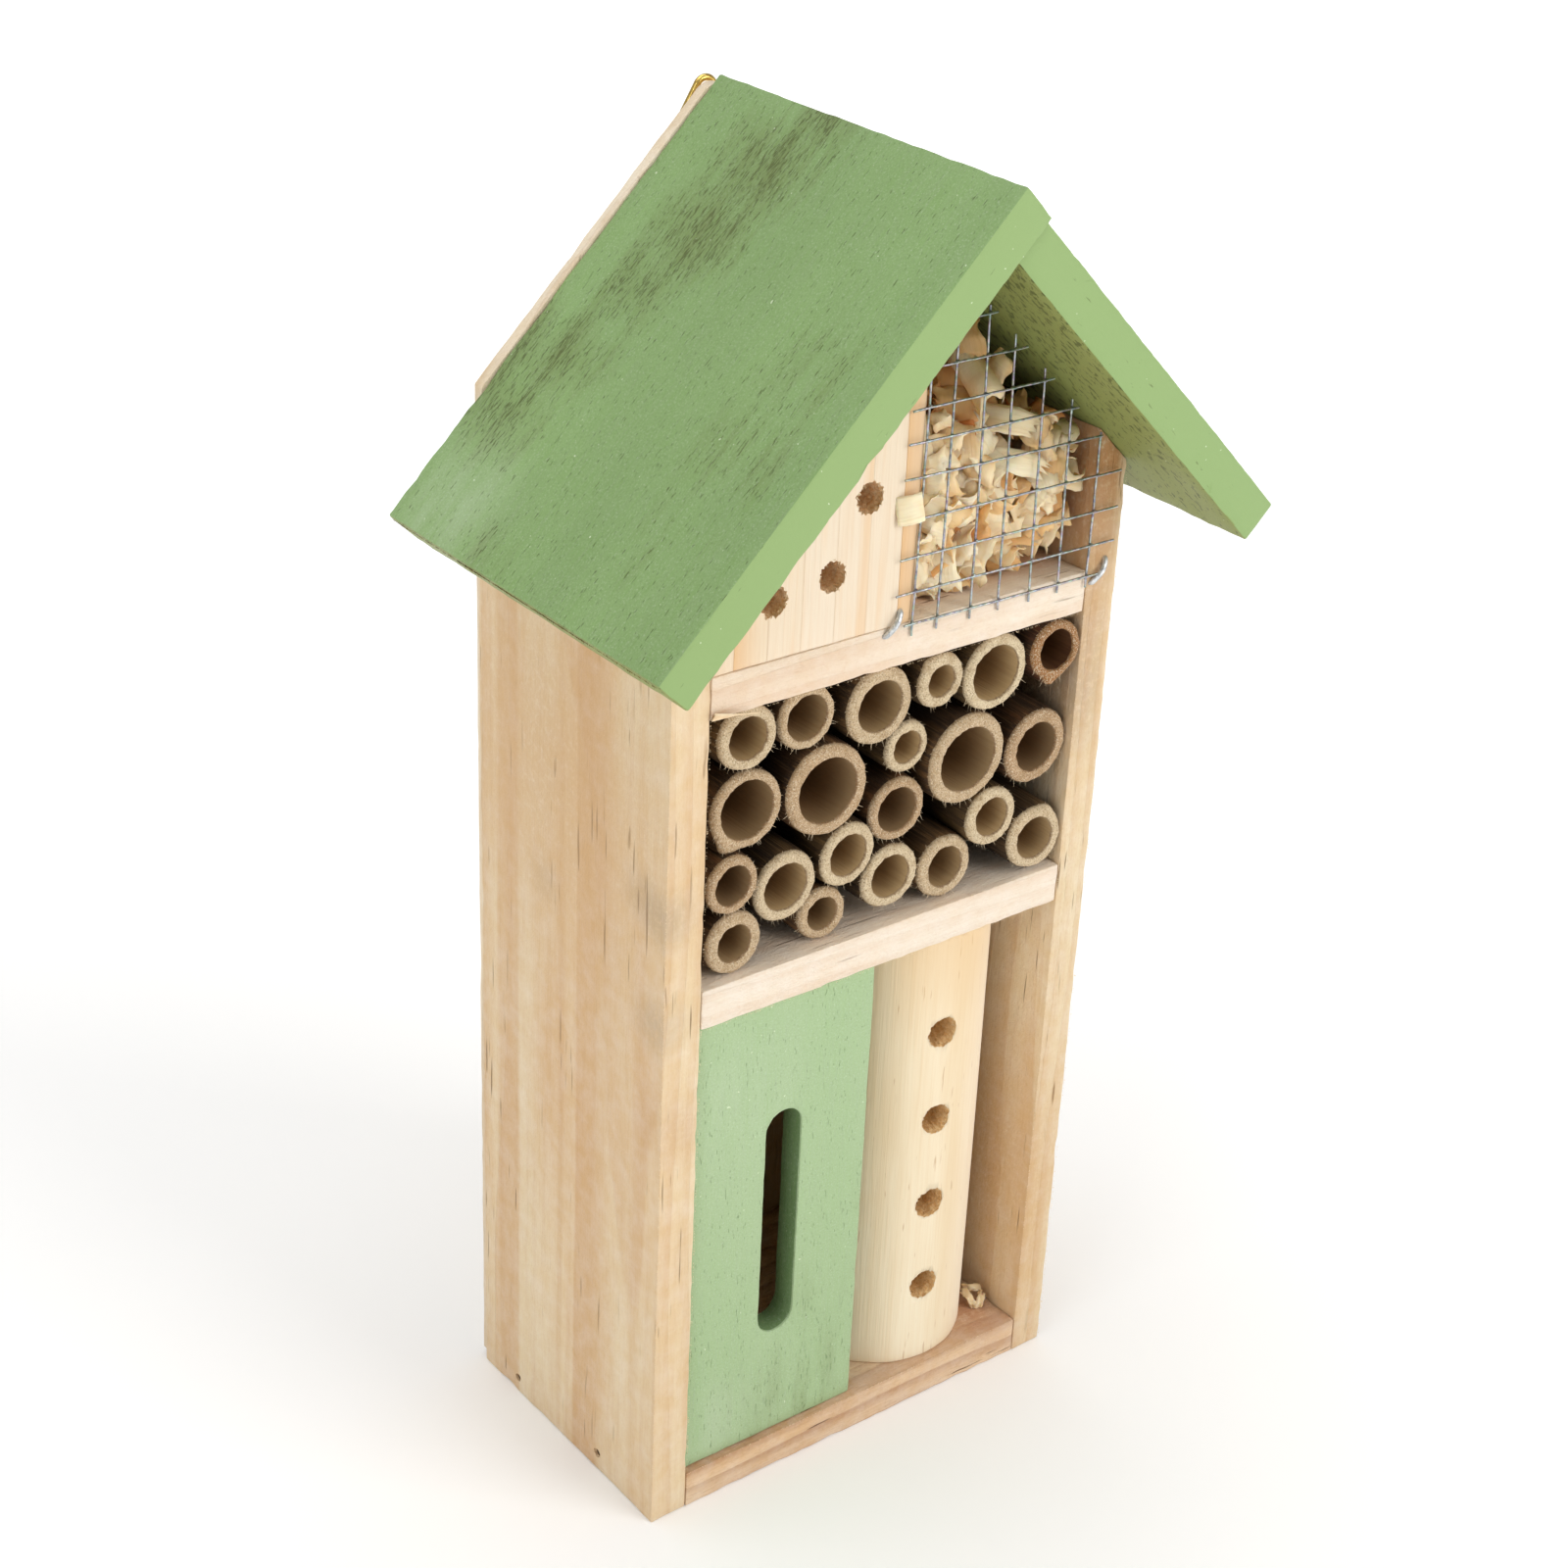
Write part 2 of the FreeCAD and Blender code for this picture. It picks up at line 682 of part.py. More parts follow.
def ring_path():
    """The ring's centre line: a triangle standing on its bar, point up, all corners rounded."""
    half = size("ring_half_width")
    corners = [Vector(half, 0, 0), Vector(0, 0, size("ring_height")), Vector(-half, 0, 0)]
    radius = size("ring_corner_radius")
    start = Vector()
    previous = start
    edges = []
    ends = corners[1:] + [start]
    for corner, following in zip(corners, ends):
        incoming = (corner - previous).normalize()
        outgoing = (following - corner).normalize()
        half_turn = incoming.getAngle(outgoing) / 2
        trim = radius * math.tan(half_turn)
        first = corner - incoming * trim
        last = corner + outgoing * trim
        inward = (outgoing - incoming).normalize()
        centre = corner + inward * (radius / math.cos(half_turn))
        middle = centre - inward * radius
        edges.append(Part.LineSegment(previous, first).toShape())
        edges.append(Part.Arc(first, middle, last).toShape())
        previous = last
    edges.append(Part.LineSegment(previous, start).toShape())
    return Part.Wire(edges)


def make_ring():
    """The wire ring, standing upright, its bar lying in the strap's loop."""
    section = Part.Wire(Part.makeCircle(size("ring_wire_radius"), Vector(), X_AXIS))
    ring = doc.addObject("Part::Feature", "hanger_ring")
    ring.Label = "hanger_ring"
    ring.Shape = ring_path().makePipeShell([section], True, False)
    axis_y = size("body_depth") / 2 + size("panel_thickness") + size("hanger_axis_gap")
    axis = Vector(size("ring_across"), axis_y, size("hanger_axis_height"))
    ring.Placement = Placement(axis, Rotation())


def make_screw():
    """The strap's round-head wood screw, turned in one outline, with a straight driver slot."""
    body = new_body("hanger_screw")
    outline = new_sketch(body, "ScrewOutline", "XZ_Plane")
    corners = [("0", "-{screw_head_height}")]
    for out, up in HEAD_DOME:
        corners.append((f"{out} * {{screw_head_radius}}", f"-{up} * {{screw_head_height}}"))
    corners += [
        ("{screw_head_radius}", "0"),
        ("{screw_shank_radius}", "0"),
        ("{screw_shank_radius}", "{screw_length} - {screw_tip_length}"),
        ("0", "{screw_length}"),
    ]
    draw_polygon(outline, corners)
    turned = body.newObject("PartDesign::Revolution", "ScrewTurned")
    turned.Profile = outline
    turned.ReferenceAxis = (outline, ["V_Axis"])
    turned.Angle = 360.0
    outline.Visibility = False
    doc.recompute()
    slot = new_sketch(body, "ScrewSlot", "XY_Plane", offset="-{screw_head_height}")
    half = "{screw_slot_width} / 2"
    reach = "{screw_head_radius} + {screw_slot_width}"
    corners = [
        (f"-({reach})", f"-({half})"),
        (reach, f"-({half})"),
        (reach, half),
        (f"-({reach})", half),
    ]
    draw_polygon(slot, corners)
    pocket(body, slot, "{screw_slot_depth}", reverse=True)
    back = "{body_depth} / 2 + {panel_thickness} + {strap_thickness}"
    up = "{hanger_axis_height} - {screw_drop}"
    into_panel = Rotation(Z_AXIS, -Y_AXIS)
    place(body, "{hanger_across}", back, up, into_panel)


# ---------------------------------------------------------------------------------- build and write


def build():
    fill_sheet()
    left_edge = "-{body_width} / 2"
    right_edge = "{body_width} / 2"
    front_edge = "-{body_depth} / 2"
    back_edge = "{body_depth} / 2"
    make_side("left_side", "{left_side_thickness}", left_edge, front_edge, Rotation())
    make_side("right_side", "{right_side_thickness}", right_edge, back_edge, Rotation(Z_AXIS, 180))
    make_plank("floor_board", "0")
    make_plank("lower_shelf", "{lower_shelf_height}")
    make_plank("upper_shelf", "{upper_shelf_height}")
    make_back_panel()
    make_roof()
    make_block()
    make_mesh()
    make_staples()
    make_shavings()
    for cane in row_names("cane"):
        make_cane(cane)
    make_butterfly_panel()
    make_log()
    make_all_brads()
    make_strap()
    make_ring()
    make_screw()
    doc.recompute()


def check_objects():
    """Stop on any object that failed to recompute without saying so."""
    for item in doc.Objects:
        if "Invalid" in item.State or "Error" in item.State:
            raise RuntimeError(f"{item.Label} failed: {item.State}")


def sub_parts():
    """The finished sub-parts: every object whose label is a file name of its own."""
    names = [
        "left_side", "right_side", "floor_board", "lower_shelf", "upper_shelf", "back_panel",
        "roof_board_left", "roof_board_right", "drilled_block", "wire_mesh", "mesh_staples",
        "wood_shavings", "butterfly_panel", "nesting_log", "side_brads", "back_brads",
        "hanger_strap", "hanger_ring", "hanger_screw",
    ]
    names += [cane.replace("cane", "bamboo_tube") for cane in row_names("cane")]
    return [doc.getObjectsByLabel(name)[0] for name in names]


def write_steps():
    os.makedirs("parts", exist_ok=True)
    items = sub_parts()
    for item in items:
        if item.Shape.isNull() or not item.Shape.isValid():
            raise RuntimeError(f"{item.Label} has no valid shape")
    for item in items:
        item.Shape.exportStep(f"parts/{item.Label}.step")
        solids = len(item.Shape.Solids)
        print(f"{item.Label}: {item.Shape.Volume:.1f} mm3, {solids} solid(s)")


build()
check_objects()
write_steps()
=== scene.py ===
import json
import math
import random

import bmesh
import bpy
from mathutils import Matrix, Vector, geometry, noise


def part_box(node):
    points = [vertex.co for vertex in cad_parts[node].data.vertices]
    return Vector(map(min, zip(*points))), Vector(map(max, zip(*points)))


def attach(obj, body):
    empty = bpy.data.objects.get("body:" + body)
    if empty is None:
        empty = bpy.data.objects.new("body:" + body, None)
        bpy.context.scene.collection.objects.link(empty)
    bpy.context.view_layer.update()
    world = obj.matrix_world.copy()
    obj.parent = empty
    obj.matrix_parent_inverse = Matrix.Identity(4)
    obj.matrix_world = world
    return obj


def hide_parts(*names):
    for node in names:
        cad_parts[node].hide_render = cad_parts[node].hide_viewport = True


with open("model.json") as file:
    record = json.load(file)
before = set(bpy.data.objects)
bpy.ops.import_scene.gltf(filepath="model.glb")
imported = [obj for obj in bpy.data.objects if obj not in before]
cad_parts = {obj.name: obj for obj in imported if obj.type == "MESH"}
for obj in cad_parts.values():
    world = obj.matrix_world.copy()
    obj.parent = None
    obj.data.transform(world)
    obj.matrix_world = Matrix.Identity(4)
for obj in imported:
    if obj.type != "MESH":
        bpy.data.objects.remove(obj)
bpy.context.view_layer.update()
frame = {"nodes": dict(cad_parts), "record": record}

# ------------------------------------------------------------------------------ studio
# The hotel stands on a wide sheet of pale card under large soft lamps, a big one in front and to
# the right, a weaker one to the left, and one overhead. The camera looks down on it from the left.

WHITE = (1.0, 1.0, 1.0, 1.0)
CARD_REACH = 30.0
CARD_SHADE = (0.93, 0.93, 0.925, 1.0)
SKY_STRENGTH = 0.4
# The card glows though it is no lamp, painted light: from 5 cm off the middle to 80 cm, its glow grows.
CARD_GLOW = (0.05, 0.8, 0.06, 0.5)


class Finish:
    """A material built a node at a time on the piece's own place in the frame."""

    def __init__(self, name):
        self.material = bpy.data.materials.new(name)
        self.material.use_nodes = True
        self.tree = self.material.node_tree
        self.shader = self.tree.nodes["Principled BSDF"]
        coordinates = self.tree.nodes.new("ShaderNodeTexCoord")
        self.place = coordinates.outputs["Object"]
        self.facing = coordinates.outputs["Normal"]

    def feed(self, socket, value):
        if isinstance(value, bpy.types.NodeSocket):
            self.tree.links.new(value, socket)
        else:
            socket.default_value = value

    def node(self, kind, sockets, **settings):
        made = self.tree.nodes.new(kind)
        for name, value in settings.items():
            setattr(made, name, value)
        for name, value in sockets.items():
            self.feed(made.inputs[name], value)
        return made

    def lay(self, vector, scale=(1, 1, 1), turn=(0, 0, 0), shift=(0, 0, 0)):
        """The place scaled, then turned by degrees, then shifted."""
        angles = [math.radians(angle) for angle in turn]
        sockets = {"Vector": vector, "Scale": scale, "Rotation": angles, "Location": shift}
        return self.node("ShaderNodeMapping", sockets).outputs["Vector"]

    def cloud(self, vector, scale, detail=2.0, rough=0.5, output="Fac"):
        sockets = {"Vector": vector, "Scale": scale, "Detail": detail, "Roughness": rough}
        return self.node("ShaderNodeTexNoise", sockets).outputs[output]

    def cells(self, vector, scale, output="Distance"):
        return self.node("ShaderNodeTexVoronoi", {"Vector": vector, "Scale": scale}).outputs[output]

    def reach(self, value, low, high, to_low=0.0, to_high=1.0, smooth=False):
        """Spread the value's range from low to high over another range, and clamp it."""
        sockets = {"Value": value, "From Min": low, "From Max": high}
        sockets.update({"To Min": to_low, "To Max": to_high})
        kind = "SMOOTHSTEP" if smooth else "LINEAR"
        return self.node("ShaderNodeMapRange", sockets, interpolation_type=kind).outputs["Result"]

    def sum_of(self, first, second, how="ADD"):
        made = self.node("ShaderNodeMath", {}, operation=how)
        self.feed(made.inputs[0], first)
        self.feed(made.inputs[1], second)
        return made.outputs["Value"]

    def times(self, first, second):
        return self.sum_of(first, second, "MULTIPLY")

    def moved(self, first, second, how="ADD"):
        made = self.node("ShaderNodeVectorMath", {}, operation=how)
        self.feed(made.inputs[0], first)
        self.feed(made.inputs[1], second)
        return made.outputs["Vector"]

    def over(self, amount, under, top, how="MIX"):
        """Lay one colour over another by an amount from 0 to 1."""
        made = self.node("ShaderNodeMix", {}, data_type="RGBA", blend_type=how)
        self.feed(made.inputs[0], amount)
        self.feed(made.inputs[6], under)
        self.feed(made.inputs[7], top)
        return made.outputs[2]

    def wash(self, under, top, value, low, high, end=1.0, start=0.0):
        """Lay one colour over another by how far a value has come from low to high."""
        return self.over(self.reach(value, low, high, start, end), under, top)

    def coats(self, colour, *washes):
        """Lay washes over a colour one after another."""
        for wash in washes:
            colour = self.wash(colour, *wash)
        return colour

    def axis(self, vector, name):
        return self.node("ShaderNodeSeparateXYZ", {"Vector": vector}).outputs[name]

    def gap(self, vector, spot):
        made = self.node("ShaderNodeVectorMath", {}, operation="DISTANCE")
        self.feed(made.inputs[0], vector)
        self.feed(made.inputs[1], spot)
        return made.outputs["Value"]

    def near(self, spot, size):
        """1 at a spot, falling to 0 at its size away from it."""
        return self.reach(self.gap(self.place, spot), 0.0, size, 1.0, 0.0, smooth=True)

    def kept(self, name, output="Fac"):
        """A value that is kept on the corners of the piece's own mesh."""
        kind = {"attribute_name": name, "attribute_type": "GEOMETRY"}
        return self.node("ShaderNodeAttribute", {}, **kind).outputs[output]

    def relief(self, height, depth):
        """Raise the surface by the height, where 1 stands depth metres above 0."""
        return self.node("ShaderNodeBump", {"Height": height, "Distance": depth}).outputs["Normal"]

    def done(self, colour, roughness, normal=None, **fixed):
        self.feed(self.shader.inputs["Base Color"], colour)
        self.feed(self.shader.inputs["Roughness"], roughness)
        if normal is not None:
            self.feed(self.shader.inputs["Normal"], normal)
        for name, value in fixed.items():
            self.shader.inputs[name.replace("_", " ")].default_value = value
        return self.material


card_paint = Finish("card")
# painted light: the card glows by itself, more the further it lies from the middle
glow = card_paint.reach(card_paint.gap(card_paint.place, (0, 0, 0)), *CARD_GLOW)
card_paint.feed(card_paint.shader.inputs["Emission Strength"], glow)
card_mesh = bpy.data.meshes.new("card")
card = bmesh.new()
bmesh.ops.create_grid(card, x_segments=2, y_segments=2, size=CARD_REACH)
card.to_mesh(card_mesh)
card.free()
card_mesh.materials.append(
    card_paint.done(CARD_SHADE, 0.9, Specular_IOR_Level=0.1, Emission_Color=WHITE)
)
floor = bpy.data.objects.new("studio_floor", card_mesh)
bpy.context.scene.collection.objects.link(floor)

LAMPS = {
    "key_lamp": ((0.62, -1.30, 0.80), 0.9, 12.4, (1.0, 0.985, 0.965)),
    "left_lamp": ((-1.45, -0.45, 0.75), 0.9, 5.9, (1.0, 0.99, 0.98)),
    "top_lamp": ((-0.1, 0.3, 1.9), 1.8, 17.6, (1.0, 1.0, 1.0)),
}
AIM = Vector((0, 0, 0.12))

for lamp_name, (lamp_place, lamp_width, lamp_power, lamp_colour) in LAMPS.items():
    lamp_data = bpy.data.lights.new(lamp_name, "AREA")
    lamp_data.size = lamp_width
    lamp_data.energy = lamp_power
    lamp_data.color = lamp_colour
    lamp = bpy.data.objects.new(lamp_name, lamp_data)
    lamp.location = lamp_place
    lamp.rotation_mode = "QUATERNION"
    lamp.rotation_quaternion = (AIM - Vector(lamp_place)).to_track_quat("-Z", "Y")
    bpy.context.scene.collection.objects.link(lamp)

sky = bpy.data.worlds.new("studio")
sky.use_nodes = True
sky.node_tree.nodes["Background"].inputs["Color"].default_value = WHITE
sky.node_tree.nodes["Background"].inputs["Strength"].default_value = SKY_STRENGTH
bpy.context.scene.world = sky
bpy.context.scene.view_settings.view_transform = "Standard"

camera_data = bpy.data.cameras.new("camera")
camera_data.sensor_width = 36.0
camera_data.lens = 65.47
camera_data.clip_start = 0.01
camera = bpy.data.objects.new("camera", camera_data)
camera.location = (-0.2970, -0.3715, 0.3823)
camera.rotation_euler = [math.radians(turn) for turn in (62.374, -2.329, -37.254)]
bpy.context.scene.collection.objects.link(camera)
bpy.context.scene.camera = camera

# ------------------------------------------------------------------------------ side boards
# Two boards of planed pine stand as the sides, their tops sawn to the slope of the roof. The flat
# faces are planed and the edges are straight from the saw, so they are paler and a little furry.


def tint(red, green, blue):
    """A colour given as it looks on a screen, from 0 to 255, made ready for a shader."""
    linear = []
    for part in (red, green, blue):
        part /= 255
        linear.append(part / 12.92 if part <= 0.04045 else ((part + 0.055) / 1.055) ** 2.4)
    return (*linear, 1.0)


GRAIN_TURN = {"X": (0, 90, 0), "Z": (0, 0, 0)}


def pine(name, along, pith, pale, warm, dark, ring=0.0042, contrast=0.55, flecks=0.5, saw=0.5,
         stains_and_shade=(), bands=(), clear=None):
    """Pine as a solid block of wood: yearly rings round a pith that lies beside the board, bent by
    slow waves along the grain, with fine fibres, short resin flecks and the saw's fur in relief.
    Each spot of colour is a place, its size, how strong it is and its colour; some are marks in the wood,
    some are painted shade on faces that lie in the shadows. A band runs up the board from one place in depth
    to another; its two edges may be sharp or soft. Clear is an axis and the two places on it between which
    every spot fades out, so that the far face stays clean."""
    wood = Finish(name)
    grain = wood.lay(wood.place, turn=GRAIN_TURN[along], shift=(*pith, 0.37 * pith[0]))
    slow = wood.lay(grain, scale=(1, 1, 0.16))
    waves = wood.moved(wood.cloud(slow, 22.0, 2.0, 0.5, "Color"), (0.5, 0.5, 0.5), "SUBTRACT")
    bend = wood.moved(waves, (0.02, 0.02, 0.0), "MULTIPLY")
    ringed = wood.moved(grain, bend)
    years = wood.node(
        "ShaderNodeTexWave",
        {"Vector": ringed, "Scale": math.tau / 20.0 / ring, "Distortion": 0.0},
        wave_type="RINGS", rings_direction="Z", wave_profile="SAW",
    ).outputs["Fac"]
    late = wood.reach(years, 0.25, 0.95, smooth=True)
    late = wood.times(late, wood.reach(years, 0.955, 1.0, 1.0, 0.0))
    blotch = wood.cloud(wood.lay(grain, scale=(1, 1, 0.2)), 60.0, 3.0, 0.55)
    fibre = wood.cloud(wood.lay(grain, scale=(1, 1, 0.06)), 2500.0, 3.0, 0.65)
    coarse = wood.cloud(wood.lay(grain, scale=(1, 1, 0.05)), 420.0, 3.0, 0.6)
    mottle = wood.cloud(wood.place, 240.0, 3.0, 0.6)
    colour = wood.wash(pale, warm, blotch, 0.35, 0.68)
    ring_share = wood.times(late, wood.reach(blotch, 0.3, 0.7, 0.35 * contrast, contrast))
    colour = wood.over(ring_share, colour, dark)
    wander = wood.times(wood.axis(waves, "X"), 0.004)
    depth = wood.sum_of(wood.axis(wood.place, "Y"), wander)
    for start, end, start_soft, end_soft, amount in bands:
        inside = wood.reach(depth, start, start + start_soft)
        inside = wood.times(inside, wood.reach(depth, end - end_soft, end, 1.0, 0.0))
        colour = wood.over(wood.times(inside, amount), colour, dark)
    colour = wood.coats(
        colour,
        (dark, coarse, 0.5, 0.75, 0.3),
        (dark, fibre, 0.45, 0.75, 0.2),
        (WHITE, mottle, 0.3, 0.62, 0.0, 0.14),
    )
    thin = wood.cloud(wood.lay(grain, scale=(1, 1, 0.055)), 1150.0, 1.0, 0.5)
    where = wood.cloud(wood.lay(grain, scale=(1, 1, 0.4)), 95.0, 1.0, 0.5)
    fleck = wood.times(wood.reach(thin, 0.69, 0.75), wood.reach(where, 0.46, 0.56))
    fleck = wood.times(fleck, flecks)
    brown = tuple(0.42 * part for part in dark[:3]) + (1.0,)
    colour = wood.over(fleck, colour, brown)
    rough = wood.cloud(wood.place, 700.0, 4.0, 0.7)
    # spots of colour, some of them painted shade, each spreading from its place
    for spot, size, amount, shade in stains_and_shade:
        spread = wood.times(wood.near(spot, size), wood.reach(rough, 0.2, 0.5))
        if clear:
            fade = wood.reach(wood.axis(wood.place, clear[0]), clear[1], clear[2], 1.0, 0.0)
            spread = wood.times(spread, fade)
        colour = wood.over(wood.times(spread, amount), colour, shade)
    fur = wood.cloud(wood.lay(grain, scale=(1, 1, 0.5)), 2100.0, 4.0, 0.7)
    furred = wood.times(wood.reach(fur, 0.5, 0.68, 0.0, 0.22), saw)
    colour = wood.over(furred, colour, dark)
    height = wood.sum_of(wood.times(fibre, 0.5), wood.times(fur, saw))
    height = wood.sum_of(height, wood.times(late, 0.3))
    height = wood.sum_of(height, fleck, "SUBTRACT")
    normal = wood.relief(height, 0.00026)
    gloss = wood.sum_of(wood.reach(fibre, 0.3, 0.7, 0.66, 0.82), wood.times(late, -0.08))
    return wood.done(colour, gloss, normal, Specular_IOR_Level=0.3)


def outline_of(node):
    """The corners of a straight board across the front, read from its CAD node."""
    spots = sorted({(round(v.co.x, 6), round(v.co.z, 6)) for v in frame["nodes"][node].data.vertices})
    return [spots[index] for index in geometry.convex_hull_2d(spots)]


def sliced(bm, at, facing):
    """Cut a line of edges right round the shape."""
    everything = bm.verts[:] + bm.edges[:] + bm.faces[:]
    bmesh.ops.bisect_plane(bm, geom=everything, dist=1e-7, plane_co=at, plane_no=facing)


def sawn_board(node, soften, step, fret, seed, loops=None):
    """A board where the CAD node is: fill its outline, or the loops given, across the front,
    extrude it to the back, soften the arrises, cut a grid of edges through the board, and fret
    the arrises as a saw leaves them."""
    front, back = (corner.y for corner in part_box(node))
    bm = bmesh.new()
    edges = []
    loops = loops or [outline_of(node)]
    for loop in loops:
        corners = [bm.verts.new((x, front, z)) for x, z in loop]
        edges += [bm.edges.new((a, b)) for a, b in zip(corners, corners[1:] + corners[:1])]
    bmesh.ops.triangle_fill(bm, use_beauty=True, edges=edges)
    if len(loops) == 1:
        bmesh.ops.dissolve_limit(bm, angle_limit=0.02, verts=bm.verts[:], edges=bm.edges[:])
    grown = bmesh.ops.extrude_face_region(bm, geom=bm.faces[:])["geom"]
    moved = [item for item in grown if isinstance(item, bmesh.types.BMVert)]
    bmesh.ops.translate(bm, verts=moved, vec=(0, back - front, 0))
    bmesh.ops.recalc_face_normals(bm, faces=bm.faces[:])
    sharp = [edge for edge in bm.edges if edge.calc_face_angle(0) > 0.3]
    ways = {"affect": "EDGES", "profile": 0.5, "material": -1, "clamp_overlap": True}
    arris = bmesh.ops.bevel(bm, geom=sharp, offset=soften, segments=2, **ways)["faces"]
    for face in arris:
        face.material_index = 1
    low = [min(v.co[k] for v in bm.verts) for k in range(3)]
    high = [max(v.co[k] for v in bm.verts) for k in range(3)]
    for k in range(3):
        across = [0.0, 0.0, 0.0]
        across[k] = 1.0
        cuts = int((high[k] - low[k]) / step)
        for cut in range(1, cuts):
            at = [0.0, 0.0, 0.0]
            at[k] = low[k] + (high[k] - low[k]) * (cut + 0.3 * math.sin(cut * 7.1)) / cuts
            sliced(bm, at, across)
    fretted = {v for face in bm.faces if face.material_index == 1 for v in face.verts}
    bm.normal_update()
    shift = Vector((seed, 2.3 * seed, -seed))
    for v in fretted:
        wander = noise.noise(v.co * 420 + shift) + 0.6 * noise.noise(v.co * 1400 - shift)
        bite = max(0.0, noise.noise(v.co * 190 - shift) - 0.25) * 3.0
        v.co -= v.normal * fret * max(0.0, 0.55 + wander + bite)
    for face in bm.faces:
        face.material_index = 0
    return bm


def finished(name, bm, materials, crease=32.0):
    """Turn the bmesh into a piece of the house, smooth but for its creases, with its finish."""
    mesh = bpy.data.meshes.new(name)
    bm.to_mesh(mesh)
    bm.free()
    for material in materials:
        mesh.materials.append(material)
    mesh.polygons.foreach_set("use_smooth", [True] * len(mesh.polygons))
    mesh.set_sharp_from_angle(angle=math.radians(crease))
    piece = bpy.data.objects.new(name, mesh)
    bpy.context.scene.collection.objects.link(piece)
    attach(piece, "house")
    return piece


def put(bm, verts, turn, place):
    """Turn some corners about the origin, then move them to their place."""
    bmesh.ops.rotate(bm, verts=verts, cent=(0, 0, 0), matrix=turn)
    bmesh.ops.translate(bm, verts=verts, vec=place)


def ragged_peg(radius, length, mouth, ragged, seed, sides=56):
    """A cutter for a drilled hole: it points along +Y from the mouth, and torn wood makes it
    uneven near the mouth."""
    bm = bmesh.new()
    ways = {"cap_ends": True, "cap_tris": False, "segments": sides}
    bmesh.ops.create_cone(bm, radius1=radius, radius2=radius, depth=length, **ways)
    put(bm, bm.verts[:], Matrix.Rotation(math.radians(90), 3, "X"), (0, length / 2, 0))
    for share in (0.25, 0.5, 0.75, 1.0, 1.3, 1.8, 2.6):
        sliced(bm, (0, mouth + (share - 0.75) * radius, 0), (0, 1, 0))
    for v in bm.verts:
        out = Vector((v.co.x, 0, v.co.z))
        if out.length > 0.5 * radius:
            way = out.normalized()
            torn = 0.5 * noise.noise(Vector((way.x * 3.0 + seed, way.z * 3.0, v.co.y * 500)))
            torn += 0.8 * noise.noise(Vector((way.x * 9.0 - seed, way.z * 9.0, v.co.y * 1500)))
            depth = (v.co.y - mouth) / (2.4 * radius)
            v.co += way * ragged * torn * max(0.3, 1.0 - max(0.0, depth))
    return bm


def carve(piece, cutters):
    """Cut the closed cutter shapes out of a piece."""
    for cutter in cutters:
        shape = bpy.data.meshes.new("cutter")
        cutter.to_mesh(shape)
        cutter.free()
        tool = bpy.data.objects.new("cutter", shape)
        bpy.context.scene.collection.objects.link(tool)
        cut = piece.modifiers.new("cut", "BOOLEAN")
        cut.operation = "DIFFERENCE"
        cut.solver = "EXACT"
        cut.object = tool
        ready = bpy.context.evaluated_depsgraph_get()
        carved = bpy.data.meshes.new_from_object(piece.evaluated_get(ready), depsgraph=ready)
        piece.modifiers.clear()
        piece.data = carved
        bpy.data.objects.remove(tool)


HAIR_SUNK = 0.00012


def splinter(bm, root, way, length, width):
    """One hair of torn wood standing on its root, a cone of a few faces."""
    made = bmesh.ops.create_cone(
        bm, cap_ends=False, cap_tris=False, segments=3, radius1=width, radius2=width * 0.15, depth=length
    )["verts"]
    turn = way.to_track_quat("Z", "Y").to_matrix()
    put(bm, made, turn, root + way * (0.5 * length - HAIR_SUNK))


def fur(bm, draw, start, end, outward, count, longest):
    """Hairs of torn wood, in tufts, along an arris that runs from start to end."""
    start = Vector(start)
    run = Vector(end) - start
    for hair in range(count):
        share = draw.random()
        tuft = 0.5 + 0.5 * noise.noise(Vector((share * run.length * 160, start.x * 900, start.z * 700)))
        hang = Vector([draw.uniform(-0.8, 0.8) for axis in "XYZ"])
        length = longest * tuft * draw.uniform(0.35, 1.0)
        way = (Vector(outward) + hang).normalized()
        splinter(bm, start + run * share, way, length, draw.uniform(0.00003, 0.00007))


hair_paint = Finish("torn_fibre")
hair_shade = hair_paint.cloud(hair_paint.place, 700.0, 1.0)
hair_colour = hair_paint.over(hair_shade, tint(246, 232, 206), tint(222, 192, 150))
torn_fibre = hair_paint.done(hair_colour, 0.8, Specular_IOR_Level=0.2)

SIDE_PALE = tint(228, 208, 172)
SIDE_WARM = tint(222, 192, 150)
SIDE_DARK = tint(200, 154, 104)
GREY_STAIN = tint(140, 128, 112)
# Brown of rough sawn wood; on the right board's front edge under the roof it is also painted shadow of the
# roof.
ROUGH_AND_SHADED_BROWN = tint(184, 134, 86)
LEFT_STAINS = (
    ((-0.050, -0.0290, 0.134), 0.009, 0.4, GREY_STAIN),
    ((-0.050, -0.0225, 0.136), 0.008, 0.3, GREY_STAIN),
    ((-0.050, -0.0270, 0.112), 0.009, 0.28, GREY_STAIN),
    ((-0.050, 0.0080, 0.125), 0.007, 0.2, GREY_STAIN),
    ((-0.046, -0.0300, 0.090), 0.012, 0.25, ROUGH_AND_SHADED_BROWN),
    ((-0.050, 0.0050, 0.1500), 0.060, 0.6, tint(206, 168, 122)),
)
LEFT_BANDS = (
    (0.0165, 0.0245, 0.0010, 0.0015, 0.45), (-0.0140, -0.0015, 0.0060, 0.0006, 0.5),
    (0.0020, 0.0045, 0.0008, 0.0008, 0.25), (-0.0245, -0.0205, 0.0020, 0.0010, 0.2),
)
RIGHT_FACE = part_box("right_side")[1].x
